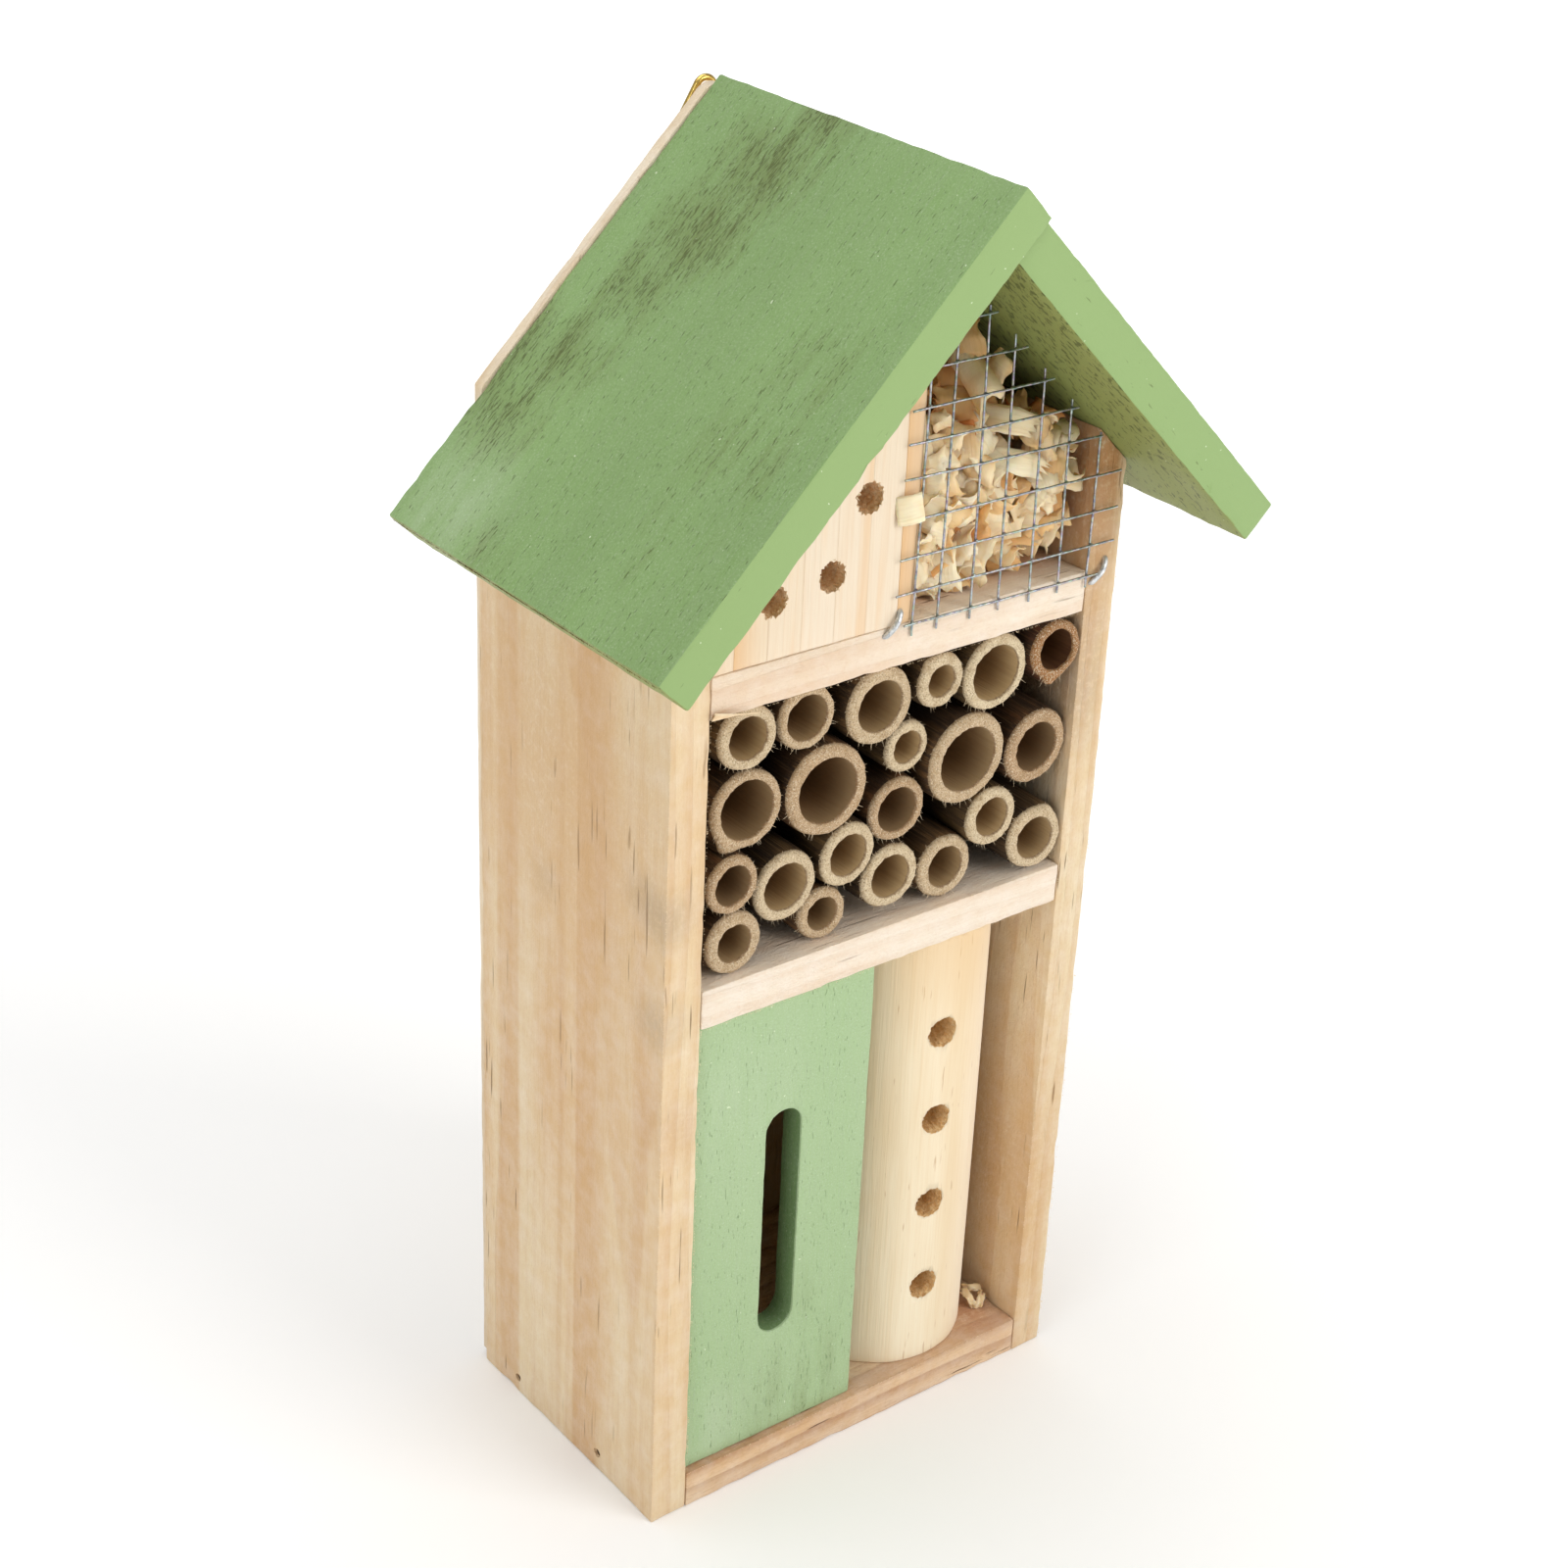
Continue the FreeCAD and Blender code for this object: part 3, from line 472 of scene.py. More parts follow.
# The right board's patches are partly painted shade: brown on its front edge under the roof, and dark and
# warm patches on its inner face beside the log, by the canes and in the bin.
RIGHT_STAINS_AND_SHADE = (
    ((0.0465, -0.0300, 0.2000), 0.021, 0.95, ROUGH_AND_SHADED_BROWN),
    ((0.0440, -0.0290, 0.1830), 0.016, 0.6, ROUGH_AND_SHADED_BROWN),
    ((0.0450, -0.0300, 0.1700), 0.010, 0.3, ROUGH_AND_SHADED_BROWN),
    ((0.0426, -0.0100, 0.0450), 0.045, 0.5, tint(196, 146, 88)),
    ((0.0412, -0.0140, 0.1960), 0.022, 0.9, tint(204, 140, 86)),
    ((0.0412, -0.0120, 0.1560), 0.030, 0.9, tint(128, 84, 50)),
)
side_pine = {
    "left_side": pine(
        "left_side_pine", "Z", (0.128, 0.011), SIDE_PALE, SIDE_WARM, SIDE_DARK,
        ring=0.0034, contrast=0.42, flecks=0.75, stains_and_shade=LEFT_STAINS, bands=LEFT_BANDS,
    ),
    "right_side": pine(
        "right_side_pine", "Z", (-0.16, -0.02), SIDE_PALE, SIDE_WARM, SIDE_DARK,
        ring=0.0032, contrast=0.42, flecks=0.8, saw=0.9, stains_and_shade=RIGHT_STAINS_AND_SHADE,
        clear=("X", RIGHT_FACE - 0.0025, RIGHT_FACE - 0.0006),
    ),
}
BRAD_SEAT = 0.00095
SEAT_START = 0.051

for number, (node, material) in enumerate(side_pine.items()):
    board = sawn_board(node, soften=0.0004, step=0.0026, fret=0.00016, seed=number + 1.5)
    piece = finished(node + "_board", board, [material])
    outward = -1 if node == "left_side" else 1
    seats = []
    for way in (-1, 1):
        brad = [v.co for v in frame["nodes"]["side_brads"].data.vertices
                if v.co.x * outward > 0 and v.co.y * way > 0]
        middle = sum(brad, Vector()) / len(brad)
        seat = ragged_peg(BRAD_SEAT, length=0.0016, mouth=0.001, ragged=0.0003, seed=way + 3.0, sides=16)
        spin = Matrix.Rotation(math.radians(90 * outward), 3, "Z")
        put(seat, seat.verts[:], spin, (outward * SEAT_START, middle.y, middle.z))
        seats.append(seat)
    carve(piece, seats)
    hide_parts(node)

chance = random.Random(3)
hairs = bmesh.new()
for node in side_pine:
    lowest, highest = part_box(node)
    for edge in (lowest.x, highest.x):
        foot = (edge, lowest.y, lowest.z)
        head = (edge, lowest.y, min(highest.z, 0.200))
        fur(hairs, chance, foot, head, (0, -0.6, 0), count=330, longest=0.0007)
finished("side_fur", hairs, [torn_fibre])

# ------------------------------------------------------------------------------ floor and shelves
# Three pine planks lie between the sides, glued at their ends. Their faces are planed, and their
# front edges are sawn, with small splinters lifting from the lower arris.

PLANK_PALE = tint(240, 228, 210)
PLANK_WARM = tint(234, 212, 186)
PLANK_DARK = tint(216, 178, 144)
FLOOR_PALE = tint(234, 210, 178)
FLOOR_WARM = tint(222, 186, 144)
FLOOR_DARK = tint(160, 104, 66)
# The two dark brown spots at the left are painted shade on the floor inside the chamber behind the butterfly
# panel.
FLOOR_STAINS_AND_SHADE = (
    ((-0.026, -0.006, 0.008), 0.022, 1.0, tint(66, 38, 20)),
    ((-0.022, 0.016, 0.008), 0.022, 1.0, tint(66, 38, 20)),
    ((0.020, -0.020, 0.0085), 0.013, 0.6, tint(196, 140, 84)),
    ((0.036, -0.022, 0.0085), 0.012, 0.7, tint(176, 112, 68)),
)
BIN_STAINS = [((across, -0.016, 0.1800), 0.014, 0.9, tint(214, 154, 102)) for across in (0.008, 0.022, 0.036)]
planks = {
    "floor_board": pine(
        "floor_pine", "X", (0.02, 0.034), FLOOR_PALE, FLOOR_WARM, FLOOR_DARK,
        ring=0.0046, contrast=0.55, flecks=0.8, saw=0.8, stains_and_shade=FLOOR_STAINS_AND_SHADE, clear=("Z", 0.003, 0.001),
    ),
    "lower_shelf": pine(
        "lower_shelf_pine", "X", (0.16, 0.05), PLANK_PALE, PLANK_WARM, PLANK_DARK,
        ring=0.0036, contrast=0.3, flecks=0.6, saw=1.0,
    ),
    "upper_shelf": pine(
        "upper_shelf_pine", "X", (0.22, 0.045), PLANK_PALE, PLANK_WARM, PLANK_DARK,
        ring=0.004, contrast=0.3, flecks=0.7, saw=1.0, stains_and_shade=BIN_STAINS,
    ),
}

for number, (node, material) in enumerate(planks.items()):
    board = sawn_board(node, soften=0.0004, step=0.0024, fret=0.0002, seed=number + 9.1)
    piece = finished(node + "_plank", board, [material])
    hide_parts(node)

# Fur on the front arrises of the planks, and the splinter that lifts at the left of the upper shelf.
SPLINTER_TIP = 0.0100
chance = random.Random(4)
hairs = bmesh.new()
for node in planks:
    lowest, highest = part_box(node)
    for edge in (lowest.z, highest.z):
        if edge > 0.001:
            ends = [(across, lowest.y, edge) for across in (lowest.x, highest.x)]
            fur(hairs, chance, *ends, (0, -0.6, 0), count=190, longest=0.0007)
lowest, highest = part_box("upper_shelf")
root = Vector((lowest.x + 0.0002, lowest.y, lowest.z + 0.0004))
for strand in range(9):
    reach = SPLINTER_TIP * chance.uniform(0.35, 1.0)
    rise = root + Vector((0, -0.0001 * strand, 0.00016 * strand))
    splinter(hairs, rise, Vector((1.0, -0.06, -0.05 - 0.02 * strand)).normalized(), reach, 0.00028)
finished("shelf_fur", hairs, [torn_fibre])

# ------------------------------------------------------------------------------ back panel
# A thin sheet of pale three-ply closes the back, cut to the gable with its peak rounded, and
# nailed on with small steel brads. Only its edge shows from the front.

panel_ply = pine(
    "panel_ply", "Z", (0.01, 0.3), tint(238, 224, 200), tint(226, 205, 172), tint(200, 168, 126),
    ring=0.006, contrast=0.5, flecks=0.25, saw=0.6,
)
board = sawn_board("back_panel", soften=0.0002, step=0.004, fret=0.00012, seed=5.2)
piece = finished("back_sheet", board, [panel_ply])
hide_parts("back_panel")

steel = Finish("brad_steel")
rust = steel.cloud(steel.place, 1500.0, 3.0, 0.6)
steel_colour = steel.wash(tint(96, 78, 62), tint(62, 44, 34), rust, 0.35, 0.65)
steel_dents = steel.relief(steel.cloud(steel.place, 2600.0, 2.0), 0.00008)
brad_steel = steel.done(steel_colour, steel.reach(rust, 0.3, 0.7, 0.42, 0.7), steel_dents, Metallic=0.7)


def refinish(nodes, material):
    """Give pieces that keep their CAD shape their own finish."""
    for node in nodes:
        slots = frame["nodes"][node].data.materials
        slots.clear()
        slots.append(material)


refinish(("side_brads", "back_brads"), brad_steel)

# ------------------------------------------------------------------------------ drilled block
# Strips of pine glued side by side and sawn to the roof make the block, and nesting holes are
# drilled in from the front. The drill tears the mouths, and the wood inside is rough and browner.

STRIP_WIDTH = 0.0070
BLOCK_HOLE_RADIUS = 0.0029
BLOCK_HOLE_DEPTH = 0.040
BLOCK_HOLE_HAIRS = 32

strip_wood = Finish("block_strips")
strip = strip_wood.times(strip_wood.axis(strip_wood.place, "X"), 1 / STRIP_WIDTH)
strip = strip_wood.sum_of(strip, 0.35)
which = strip_wood.node("ShaderNodeMath", {}, operation="FLOOR")
strip_wood.feed(which.inputs[0], strip)
of_strip = strip_wood.node("ShaderNodeTexWhiteNoise", {"W": which.outputs[0]}, noise_dimensions="1D")
shuffle = strip_wood.moved(of_strip.outputs["Color"], (0.3, 0.3, 0.3), "MULTIPLY")
strip_place = strip_wood.moved(strip_wood.place, shuffle)
strip_years = strip_wood.cloud(strip_wood.lay(strip_place, scale=(1, 0.35, 0.06)), 300.0, 2.0, 0.5)
strip_fibre = strip_wood.cloud(strip_wood.lay(strip_place, scale=(1, 0.4, 0.025)), 2100.0, 3.0, 0.6)
strip_colour = strip_wood.over(of_strip.outputs["Value"], tint(232, 216, 194), tint(226, 204, 172))
warm_share = strip_wood.reach(strip_years, 0.5, 0.7, 0.0, 0.5)
strip_colour = strip_wood.over(warm_share, strip_colour, tint(226, 186, 138))
within = strip_wood.node("ShaderNodeMath", {}, operation="FRACT")
strip_wood.feed(within.inputs[0], strip)
warm_strip = strip_wood.reach(of_strip.outputs["Value"], 0.3, 0.6, 0.0, 0.85)
faded = strip_wood.times(warm_strip, strip_wood.reach(within.outputs[0], 0.0, 0.8, 1.0, 0.0))
strip_colour = strip_wood.over(faded, strip_colour, tint(220, 174, 120))
strip_colour = strip_wood.wash(strip_colour, tint(206, 164, 120), strip_fibre, 0.45, 0.75, 0.18)
edge_gap = strip_wood.node("ShaderNodeMath", {}, operation="PINGPONG")
strip_wood.feed(edge_gap.inputs[0], within.outputs[0])
edge_gap.inputs[1].default_value = 0.5
glue_line = strip_wood.reach(edge_gap.outputs[0], 0.008, 0.024, 1.0, 0.0)
glued_dark = strip_wood.reach(of_strip.outputs["Value"], 0.3, 0.9, 0.3, 1.0)
glue_line = strip_wood.times(glue_line, glued_dark)
strip_colour = strip_wood.over(strip_wood.times(glue_line, 0.5), strip_colour, tint(196, 150, 104))
strip_height = strip_wood.sum_of(strip_fibre, strip_wood.times(glue_line, -1.2))
block_wood = strip_wood.done(strip_colour, strip_wood.reach(strip_fibre, 0.3, 0.7, 0.62, 0.8),
                             strip_wood.relief(strip_height, 0.00012), Specular_IOR_Level=0.3)


def drilled_wood(name, pale, brown):
    """The inside of a drilled hole: torn fibres that a blunt bit has scorched a little."""
    inside = Finish(name)
    torn = inside.cloud(inside.place, 1500.0, 4.0, 0.7)
    soot = inside.cloud(inside.place, 420.0, 2.0)
    colour = inside.wash(pale, brown, torn, 0.35, 0.65)
    colour = inside.wash(colour, tint(110, 66, 32), soot, 0.5, 0.75, 0.25)
    return inside.done(colour, 0.85, inside.relief(torn, 0.0005), Specular_IOR_Level=0.2)


def drill(piece, holes, radius, length, front, mouth, ragged, seed, seed_step):
    """Drill holes, given as across and height, from a little ahead of the front, with torn
    mouths, and give the faces inside them the piece's second finish."""
    pegs = []
    for number, (across, height) in enumerate(holes):
        peg = ragged_peg(radius, length, mouth, ragged, seed + seed_step * number)
        bmesh.ops.translate(peg, verts=peg.verts[:], vec=(across, front - mouth, height))
        pegs.append(peg)
    carve(piece, pegs)
    for face in piece.data.polygons:
        for across, height in holes:
            gap = math.hypot(face.center.x - across, face.center.z - height)
            if gap < radius * 1.12 and face.center.y > front + 0.0001 and abs(face.normal.y) < 0.9:
                face.material_index = 1


def openings(prefix):
    """The middle of each stated opening whose name starts so, across and in height."""
    stated = frame["record"]["physics"]["openings"]
    boxes = [box["box_m"] for box in stated if box["name"].startswith(prefix)]
    return [((low[0] + high[0]) / 2, (low[2] + high[2]) / 2) for low, high in boxes]


lowest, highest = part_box("drilled_block")
board = sawn_board("drilled_block", soften=0.0003, step=0.0035, fret=0.0001, seed=3.3)
block_hole_wood = drilled_wood("block_hole_wood", tint(254, 228, 190), tint(232, 184, 132))
piece = finished("drilled_block_wood", board, [block_wood, block_hole_wood])
block_holes = openings("block_hole")
drill(
    piece, block_holes, BLOCK_HOLE_RADIUS, BLOCK_HOLE_DEPTH + 0.001, lowest.y, mouth=0.001,
    ragged=0.0006, seed=0.0, seed_step=4.0,
)
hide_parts("drilled_block")

# fibres that the drill left standing round each mouth
chance = random.Random(9)
hairs = bmesh.new()
for across, height in block_holes:
    torn_at = chance.uniform(0, math.tau)
    for hair in range(BLOCK_HOLE_HAIRS):
        angle = torn_at + chance.gauss(0, 0.7) + (math.pi if hair % 3 == 0 else 0.0)
        out = Vector((math.cos(angle), 0, math.sin(angle)))
        root = Vector((across, lowest.y + 0.0001, height)) + out * BLOCK_HOLE_RADIUS
        hang = Vector((chance.uniform(-0.4, 0.4), -0.5, chance.uniform(-0.9, 0.9)))
        splinter(hairs, root, (hang - out * 0.5).normalized(), chance.uniform(0.0003, 0.0009), 0.00014)
finished("block_hole_fibres", hairs, [torn_fibre])

# ------------------------------------------------------------------------------ bamboo canes
# Short bamboo canes lie on the lower shelf, sawn across and tumbled so that the cut ends are
# rounded and furry. Each has brown bark outside, a fibrous wall and a smooth pale bore.

# How brown each cane is, from 0, straw, to 1, red brown, row by row from the top left.
CANE_TONES = (
    0.2, 0.4, 0.3, 0.1, 0.0, 1.0, 0.5, 0.55, 0.1, 0.4, 0.65, 0.6,
    0.1, 0.2, 0.6, 0.15, 0.1, 0.1, 0.3, 0.45, 0.4,
)
# Stubs of side shoots left on the rim: cane, degrees round from the right, and how far they stand.
CANE_NIBS = {6: (262, 0.0016), 7: (238, 0.0017), 4: (128, 0.0006), 14: (60, 0.0005)}
CANE_SIDES = 72
CANE_WORN = 0.004
CANE_HAIRS = 800


def cane_wall(material):
    """The place along a cane, its share of the wall from bore to bark, and its tone."""
    return material.kept("cane_place", "Vector"), material.kept("cane_wall"), material.kept("cane_tone")


cut_end = Finish("cane_cut_end")
spot, share, tone = cane_wall(cut_end)
bundles = cut_end.cells(cut_end.lay(spot, scale=(1, 0.2, 1)), 2600.0)
fuzz = cut_end.cloud(spot, 3800.0, 3.0, 0.7)
patch = cut_end.cloud(spot, 420.0, 2.0)
end_colour = cut_end.over(tone, tint(218, 199, 164), tint(160, 112, 68))
end_colour = cut_end.coats(
    end_colour,
    (tint(140, 108, 72), bundles, 0.12, 0.5, 0.0, 0.65),
    (tint(244, 230, 202), fuzz, 0.5, 0.66, 0.8),
    (tint(160, 128, 86), patch, 0.5, 0.7, 0.35),
    (tint(96, 70, 42), share, 0.86, 0.98, 0.8),
    (tint(134, 96, 58), share, 0.0, 0.1, 0.0, 0.6),
)
end_height = cut_end.times(cut_end.sum_of(fuzz, bundles), 0.6)
cane_end = cut_end.done(end_colour, 0.86, cut_end.relief(end_height, 0.0004), Specular_IOR_Level=0.2)

skin = Finish("cane_bark")
spot, share, tone = cane_wall(skin)
streak = skin.cloud(skin.lay(spot, scale=(1, 0.035, 1)), 900.0, 4.0, 0.65)
fine = skin.cloud(skin.lay(spot, scale=(1, 0.02, 1)), 3200.0, 2.0, 0.6)
# Painted shade: the stain blotches darken the bark partly so that the gaps between the canes look dark, and
# the bark grows darker further back along the cane.
bark_stain_and_shade = skin.cloud(skin.lay(spot, scale=(1, 0.3, 1)), 150.0, 3.0, 0.6)
depth_shade = skin.reach(skin.axis(spot, "Y"), 0.001, 0.011, 0.0, 0.88)
bark_colour = skin.over(tone, tint(122, 98, 60), tint(116, 64, 36))
bark_colour = skin.coats(
    bark_colour,
    (tint(62, 44, 26), streak, 0.38, 0.6, 0.85),
    (tint(36, 24, 14), bark_stain_and_shade, 0.36, 0.58, 0.85),
    (tint(176, 140, 92), fine, 0.55, 0.8, 0.4),
)
# painted shade, darker further back along the cane
bark_colour = skin.over(depth_shade, bark_colour, tint(30, 18, 9))
bark_relief = skin.relief(skin.sum_of(streak, fine), 0.0003)
cane_bark = skin.done(bark_colour, skin.reach(streak, 0.3, 0.7, 0.5, 0.75), bark_relief,
                      Specular_IOR_Level=0.35)

hollow = Finish("cane_bore")
spot, share, tone = cane_wall(hollow)
lines = hollow.cloud(hollow.lay(spot, scale=(1, 0.03, 1)), 1700.0, 3.0, 0.6)
# Painted shade: the bore darkens further in from its mouth.
depth_shade = hollow.axis(spot, "Y")
bore_colour = hollow.over(tone, tint(204, 176, 130), tint(78, 46, 26))
bore_colour = hollow.coats(
    bore_colour,
    (tint(140, 100, 60), lines, 0.42, 0.7, 0.25),
    (tint(120, 82, 44), depth_shade, 0.0, 0.008, 0.6),
    (tint(56, 30, 12), depth_shade, 0.008, 0.026, 0.85),
)
cane_bore = hollow.done(bore_colour, 0.7, hollow.relief(lines, 0.0001), Specular_IOR_Level=0.3)

rim_spots = []

for number, brown in enumerate(CANE_TONES, start=1):
    node = f"bamboo_tube_{number:02d}"
    lowest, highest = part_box(node)
    axis = (lowest + highest) / 2
    outer = (highest.x - lowest.x) / 2
    length = highest.y - lowest.y
    bore = min(math.hypot(v.co.x - axis.x, v.co.z - axis.z) for v in frame["nodes"][node].data.vertices)
    wall = outer - bore
    profile = [(outer, length * share) for share in (1.0, 0.7, 0.45, 0.25, 0.12)]
    profile += [(outer, 0.0024), (outer - 0.05 * wall, 0.0011), (outer - 0.16 * wall, 0.00045)]
    profile += [(outer - 0.32 * wall, 0.0001), (outer - 0.5 * wall, 0.0)]
    profile += [(outer - 0.68 * wall, 0.0), (bore + 0.14 * wall, 0.00004)]
    profile += [(bore + 0.03 * wall, 0.0002), (bore, 0.0006), (bore, 0.003)]
    profile += [(bore, length * share) for share in (0.2, 0.5, 1.0)]
    cane = bmesh.new()
    line = [cane.verts.new((radius, along, 0)) for radius, along in profile]
    edges = [cane.edges.new((a, b)) for a, b in zip(line, line[1:] + line[:1])]
    turn = {"cent": (0, 0, 0), "axis": (0, 1, 0), "angle": math.tau, "steps": CANE_SIDES}
    bmesh.ops.spin(cane, geom=line + edges, use_merge=True, use_duplicate=False, **turn)
    bmesh.ops.remove_doubles(cane, verts=cane.verts[:], dist=1e-6)
    bmesh.ops.recalc_face_normals(cane, faces=cane.faces[:])
    wall_share = cane.verts.layers.float.new("cane_wall")
    tone_layer = cane.verts.layers.float.new("cane_tone")
    place_layer = cane.verts.layers.float_vector.new("cane_place")
    for face in cane.faces:
        radii = [math.hypot(v.co.x, v.co.z) for v in face.verts]
        middle = sum(radii) / len(radii)
        depth = face.calc_center_median().y
        if depth < 0.0012 or depth > length - 0.0001:
            face.material_index = 0
        else:
            face.material_index = 1 if middle > (outer + bore) / 2 else 2
    nib_turn, nib_stand = CANE_NIBS.get(number, (0, 0.0))
    nib_way = Vector((math.cos(math.radians(nib_turn)), 0, math.sin(math.radians(nib_turn))))
    lean = Vector((math.sin(number * 3.1), 0, math.cos(number * 5.3))) * 0.035
    for v in cane.verts:
        radius = math.hypot(v.co.x, v.co.z)
        way = Vector((v.co.x, 0, v.co.z)) / radius
        share = (radius - bore) / wall
        v[wall_share] = share
        v[tone_layer] = brown
        v[place_layer] = v.co + Vector((0.1 * number, 0, 0.07 * number))
        oval = 0.022 * math.cos(2 * math.atan2(way.z, way.x) + number)
        lump = noise.noise(way * 1.4 + Vector((number * 1.7, v.co.y * 18, 0)))
        ridge = noise.noise(way * 5.0 + Vector((0, v.co.y * 30, number * 2.3)))
        near_end = max(0.0, 1.0 - v.co.y / CANE_WORN)
        fray = noise.noise(way * 14.0 + Vector((number, share * 3.0, 0)))
        shift = radius * (oval * (0.4 + share) / 1.4) - abs(lump) * 0.0001 + 0.00007 * ridge * share
        shift += 0.00013 * fray * near_end * share
        around = max(0.0, way.dot(nib_way))
        shift += nib_stand * around ** 26 * share
        along = 0.00028 * noise.noise(Vector((v.co.x, v.co.z, number * 0.01)) * 900) * near_end
        tilt = (v.co.x * lean.x + v.co.z * lean.z) * near_end
        v.co = way * (radius + shift) + Vector((0, max(0.0, v.co.y + along + tilt + 0.0003), 0))
        if near_end > 0.7 and share > 0.8:
            rim_spots.append((v.co + Vector((axis.x, lowest.y, axis.z)), way.copy()))
    bmesh.ops.translate(cane, verts=cane.verts[:], vec=(axis.x, lowest.y, axis.z))
    piece = finished(f"bamboo_cane_{number:02d}", cane, [cane_end, cane_bark, cane_bore], 50)
    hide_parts(node)


chance = random.Random(21)
hairs = bmesh.new()
for root, way in chance.sample(rim_spots, CANE_HAIRS):
    hang = Vector((chance.uniform(-0.7, 0.7), chance.uniform(-0.9, 0.1), chance.uniform(-1.0, 0.4)))
    length = chance.uniform(0.0003, 0.0009) * (1.6 if way.z < -0.3 else 0.8)
    splinter(hairs, root, (way + hang).normalized(), length, chance.uniform(0.00003, 0.00006))
finished("cane_fibres", hairs, [torn_fibre])

# ------------------------------------------------------------------------------ butterfly panel
# A thin board, slotted upright for butterflies and painted all over in thin green paint, stands a
# little behind the front edges. The grain shows through the paint as short upright pores.


def green_paint(name, turn, fresh, dull, pore, edge=None, under=None, grime=(), pores=0.5, haze=()):
    """Thin water paint over pine. The grain runs up the piece after the turn, in degrees. Edge is
    the paint's colour on the front, under its colour on faces that look down. Grime and haze are
    spots, each with its size and how strong it is."""
    paint = Finish(name)
    grain = paint.lay(paint.place, turn=turn)
    wide = paint.cloud(paint.lay(grain, scale=(1, 1, 0.3)), 34.0, 3.0, 0.55)
    dirt = paint.cloud(paint.lay(grain, scale=(1, 1, 0.16), shift=(0.4, 0.1, 0.3)), 150.0, 5.0, 0.7)
    fibre = paint.cloud(paint.lay(grain, scale=(1, 1, 0.04)), 2600.0, 3.0, 0.6)
    dash = paint.cloud(paint.lay(grain, scale=(1, 1, 0.16)), 3600.0, 2.0, 0.55)
    fleck = paint.cloud(paint.place, 900.0, 1.0, 0.5)
    colour = paint.wash(fresh, dull, wide, 0.36, 0.66)
    speck = paint.cloud(paint.place, 2600.0, 2.0, 0.6)
    colour = paint.coats(
        colour,
        (WHITE, fibre, 0.4, 0.7, 0.05),
        (pore, fibre, 0.5, 0.72, 0.16),
        (pore, speck, 0.5, 0.7, 0.16),
        (WHITE, speck, 0.3, 0.42, 0.0, 0.1),
    )
    smut = paint.sum_of(0.0, 0.0)
    for spot, size, amount in grime:
        spread = paint.times(paint.near(spot, size), amount)
        smut = paint.sum_of(smut, spread, "MAXIMUM")
    patchy = paint.sum_of(smut, paint.reach(dirt, 0.3, 0.7, -0.6, 0.6))
    patchy = paint.times(paint.reach(patchy, 0.15, 1.2), paint.reach(smut, 0.0, 0.3))
    colour = paint.over(paint.times(patchy, 0.58), colour, OLIVE_DIRT)
    level = paint.reach(patchy, 0.0, 0.8, 0.67, 0.52)
    for spot, size, amount in haze:
        spread = paint.times(paint.near(spot, size), paint.reach(dirt, 0.35, 0.6))
        colour = paint.over(paint.times(spread, amount), colour, (0.9, 0.93, 0.86, 1.0))
    facing = paint.facing
    if edge:
        front = paint.reach(paint.times(paint.axis(facing, "Y"), -1.0), 0.6, 0.8)
        colour = paint.over(front, colour, edge)
        scratch = paint.cloud(paint.lay(grain, scale=(1, 1, 0.2), shift=(0.2, 0.7, 0.1)), 1300.0, 2.0, 0.6)
        scratch = paint.times(paint.reach(scratch, 0.70, 0.76, 0.0, 0.6), front)
        colour = paint.over(scratch, colour, pore)
        level = paint.sum_of(level, paint.times(front, 0.12))
    if under:
        down = paint.reach(paint.times(paint.axis(facing, "Z"), -1.0), 0.3, 0.5)
        pitted = paint.cloud(paint.lay(grain, scale=(1, 1, 0.4)), 1000.0, 3.0, 0.6)
        nearer = paint.reach(paint.axis(paint.place, "Z"), 0.18, 0.24, 0.62, 0.54)
        pitted = paint.reach(paint.sum_of(pitted, nearer, "SUBTRACT"), 0.0, 0.03, 0.0, 0.9)
        colour = paint.over(down, colour, under)
        colour = paint.over(paint.times(pitted, down), colour, pore)
    dark = paint.times(paint.reach(paint.sum_of(dash, level, "SUBTRACT"), 0.0, 0.05), pores)
    colour = paint.over(dark, colour, pore)
    colour = paint.wash(colour, tint(225, 236, 205), fleck, 0.79, 0.81, 0.6)
    height = paint.sum_of(paint.times(fibre, 0.3), dark, "SUBTRACT")
    height = paint.sum_of(height, paint.times(speck, 0.4))
    gloss = paint.reach(wide, 0.3, 0.7, 0.5, 0.62)
    return paint.done(colour, gloss, paint.relief(height, 0.00011), Specular_IOR_Level=0.4)


OLIVE_DIRT = tint(102, 108, 52)
door_green = green_paint(
    "door_green", (0, 0, 0), tint(160, 186, 138), tint(166, 189, 145), tint(112, 138, 92), pores=0.6,
    grime=(((-0.015, -0.025, 0.012), 0.03, 0.3), ((-0.012, -0.025, 0.045), 0.03, 0.2)),
    haze=(((-0.033, -0.025, 0.088), 0.026, 0.08), ((-0.036, -0.025, 0.016), 0.016, 0.12)),
)
slot_green = green_paint(
    "slot_green", (0, 0, 0), tint(114, 142, 92), tint(100, 128, 78), tint(60, 80, 44), pores=0.6,
)
SLOT_ARC_STEPS = 14
lowest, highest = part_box("butterfly_panel")
inside = [v.co for v in frame["nodes"]["butterfly_panel"].data.vertices
          if lowest.x + 0.001 < v.co.x < highest.x - 0.001]
slot_left = min(co.x for co in inside)
slot_right = max(co.x for co in inside)
slot_low = min(co.z for co in inside)
slot_high = max(co.z for co in inside)
slot_radius = (slot_right - slot_left) / 2
slot_middle = (slot_left + slot_right) / 2
slot = []
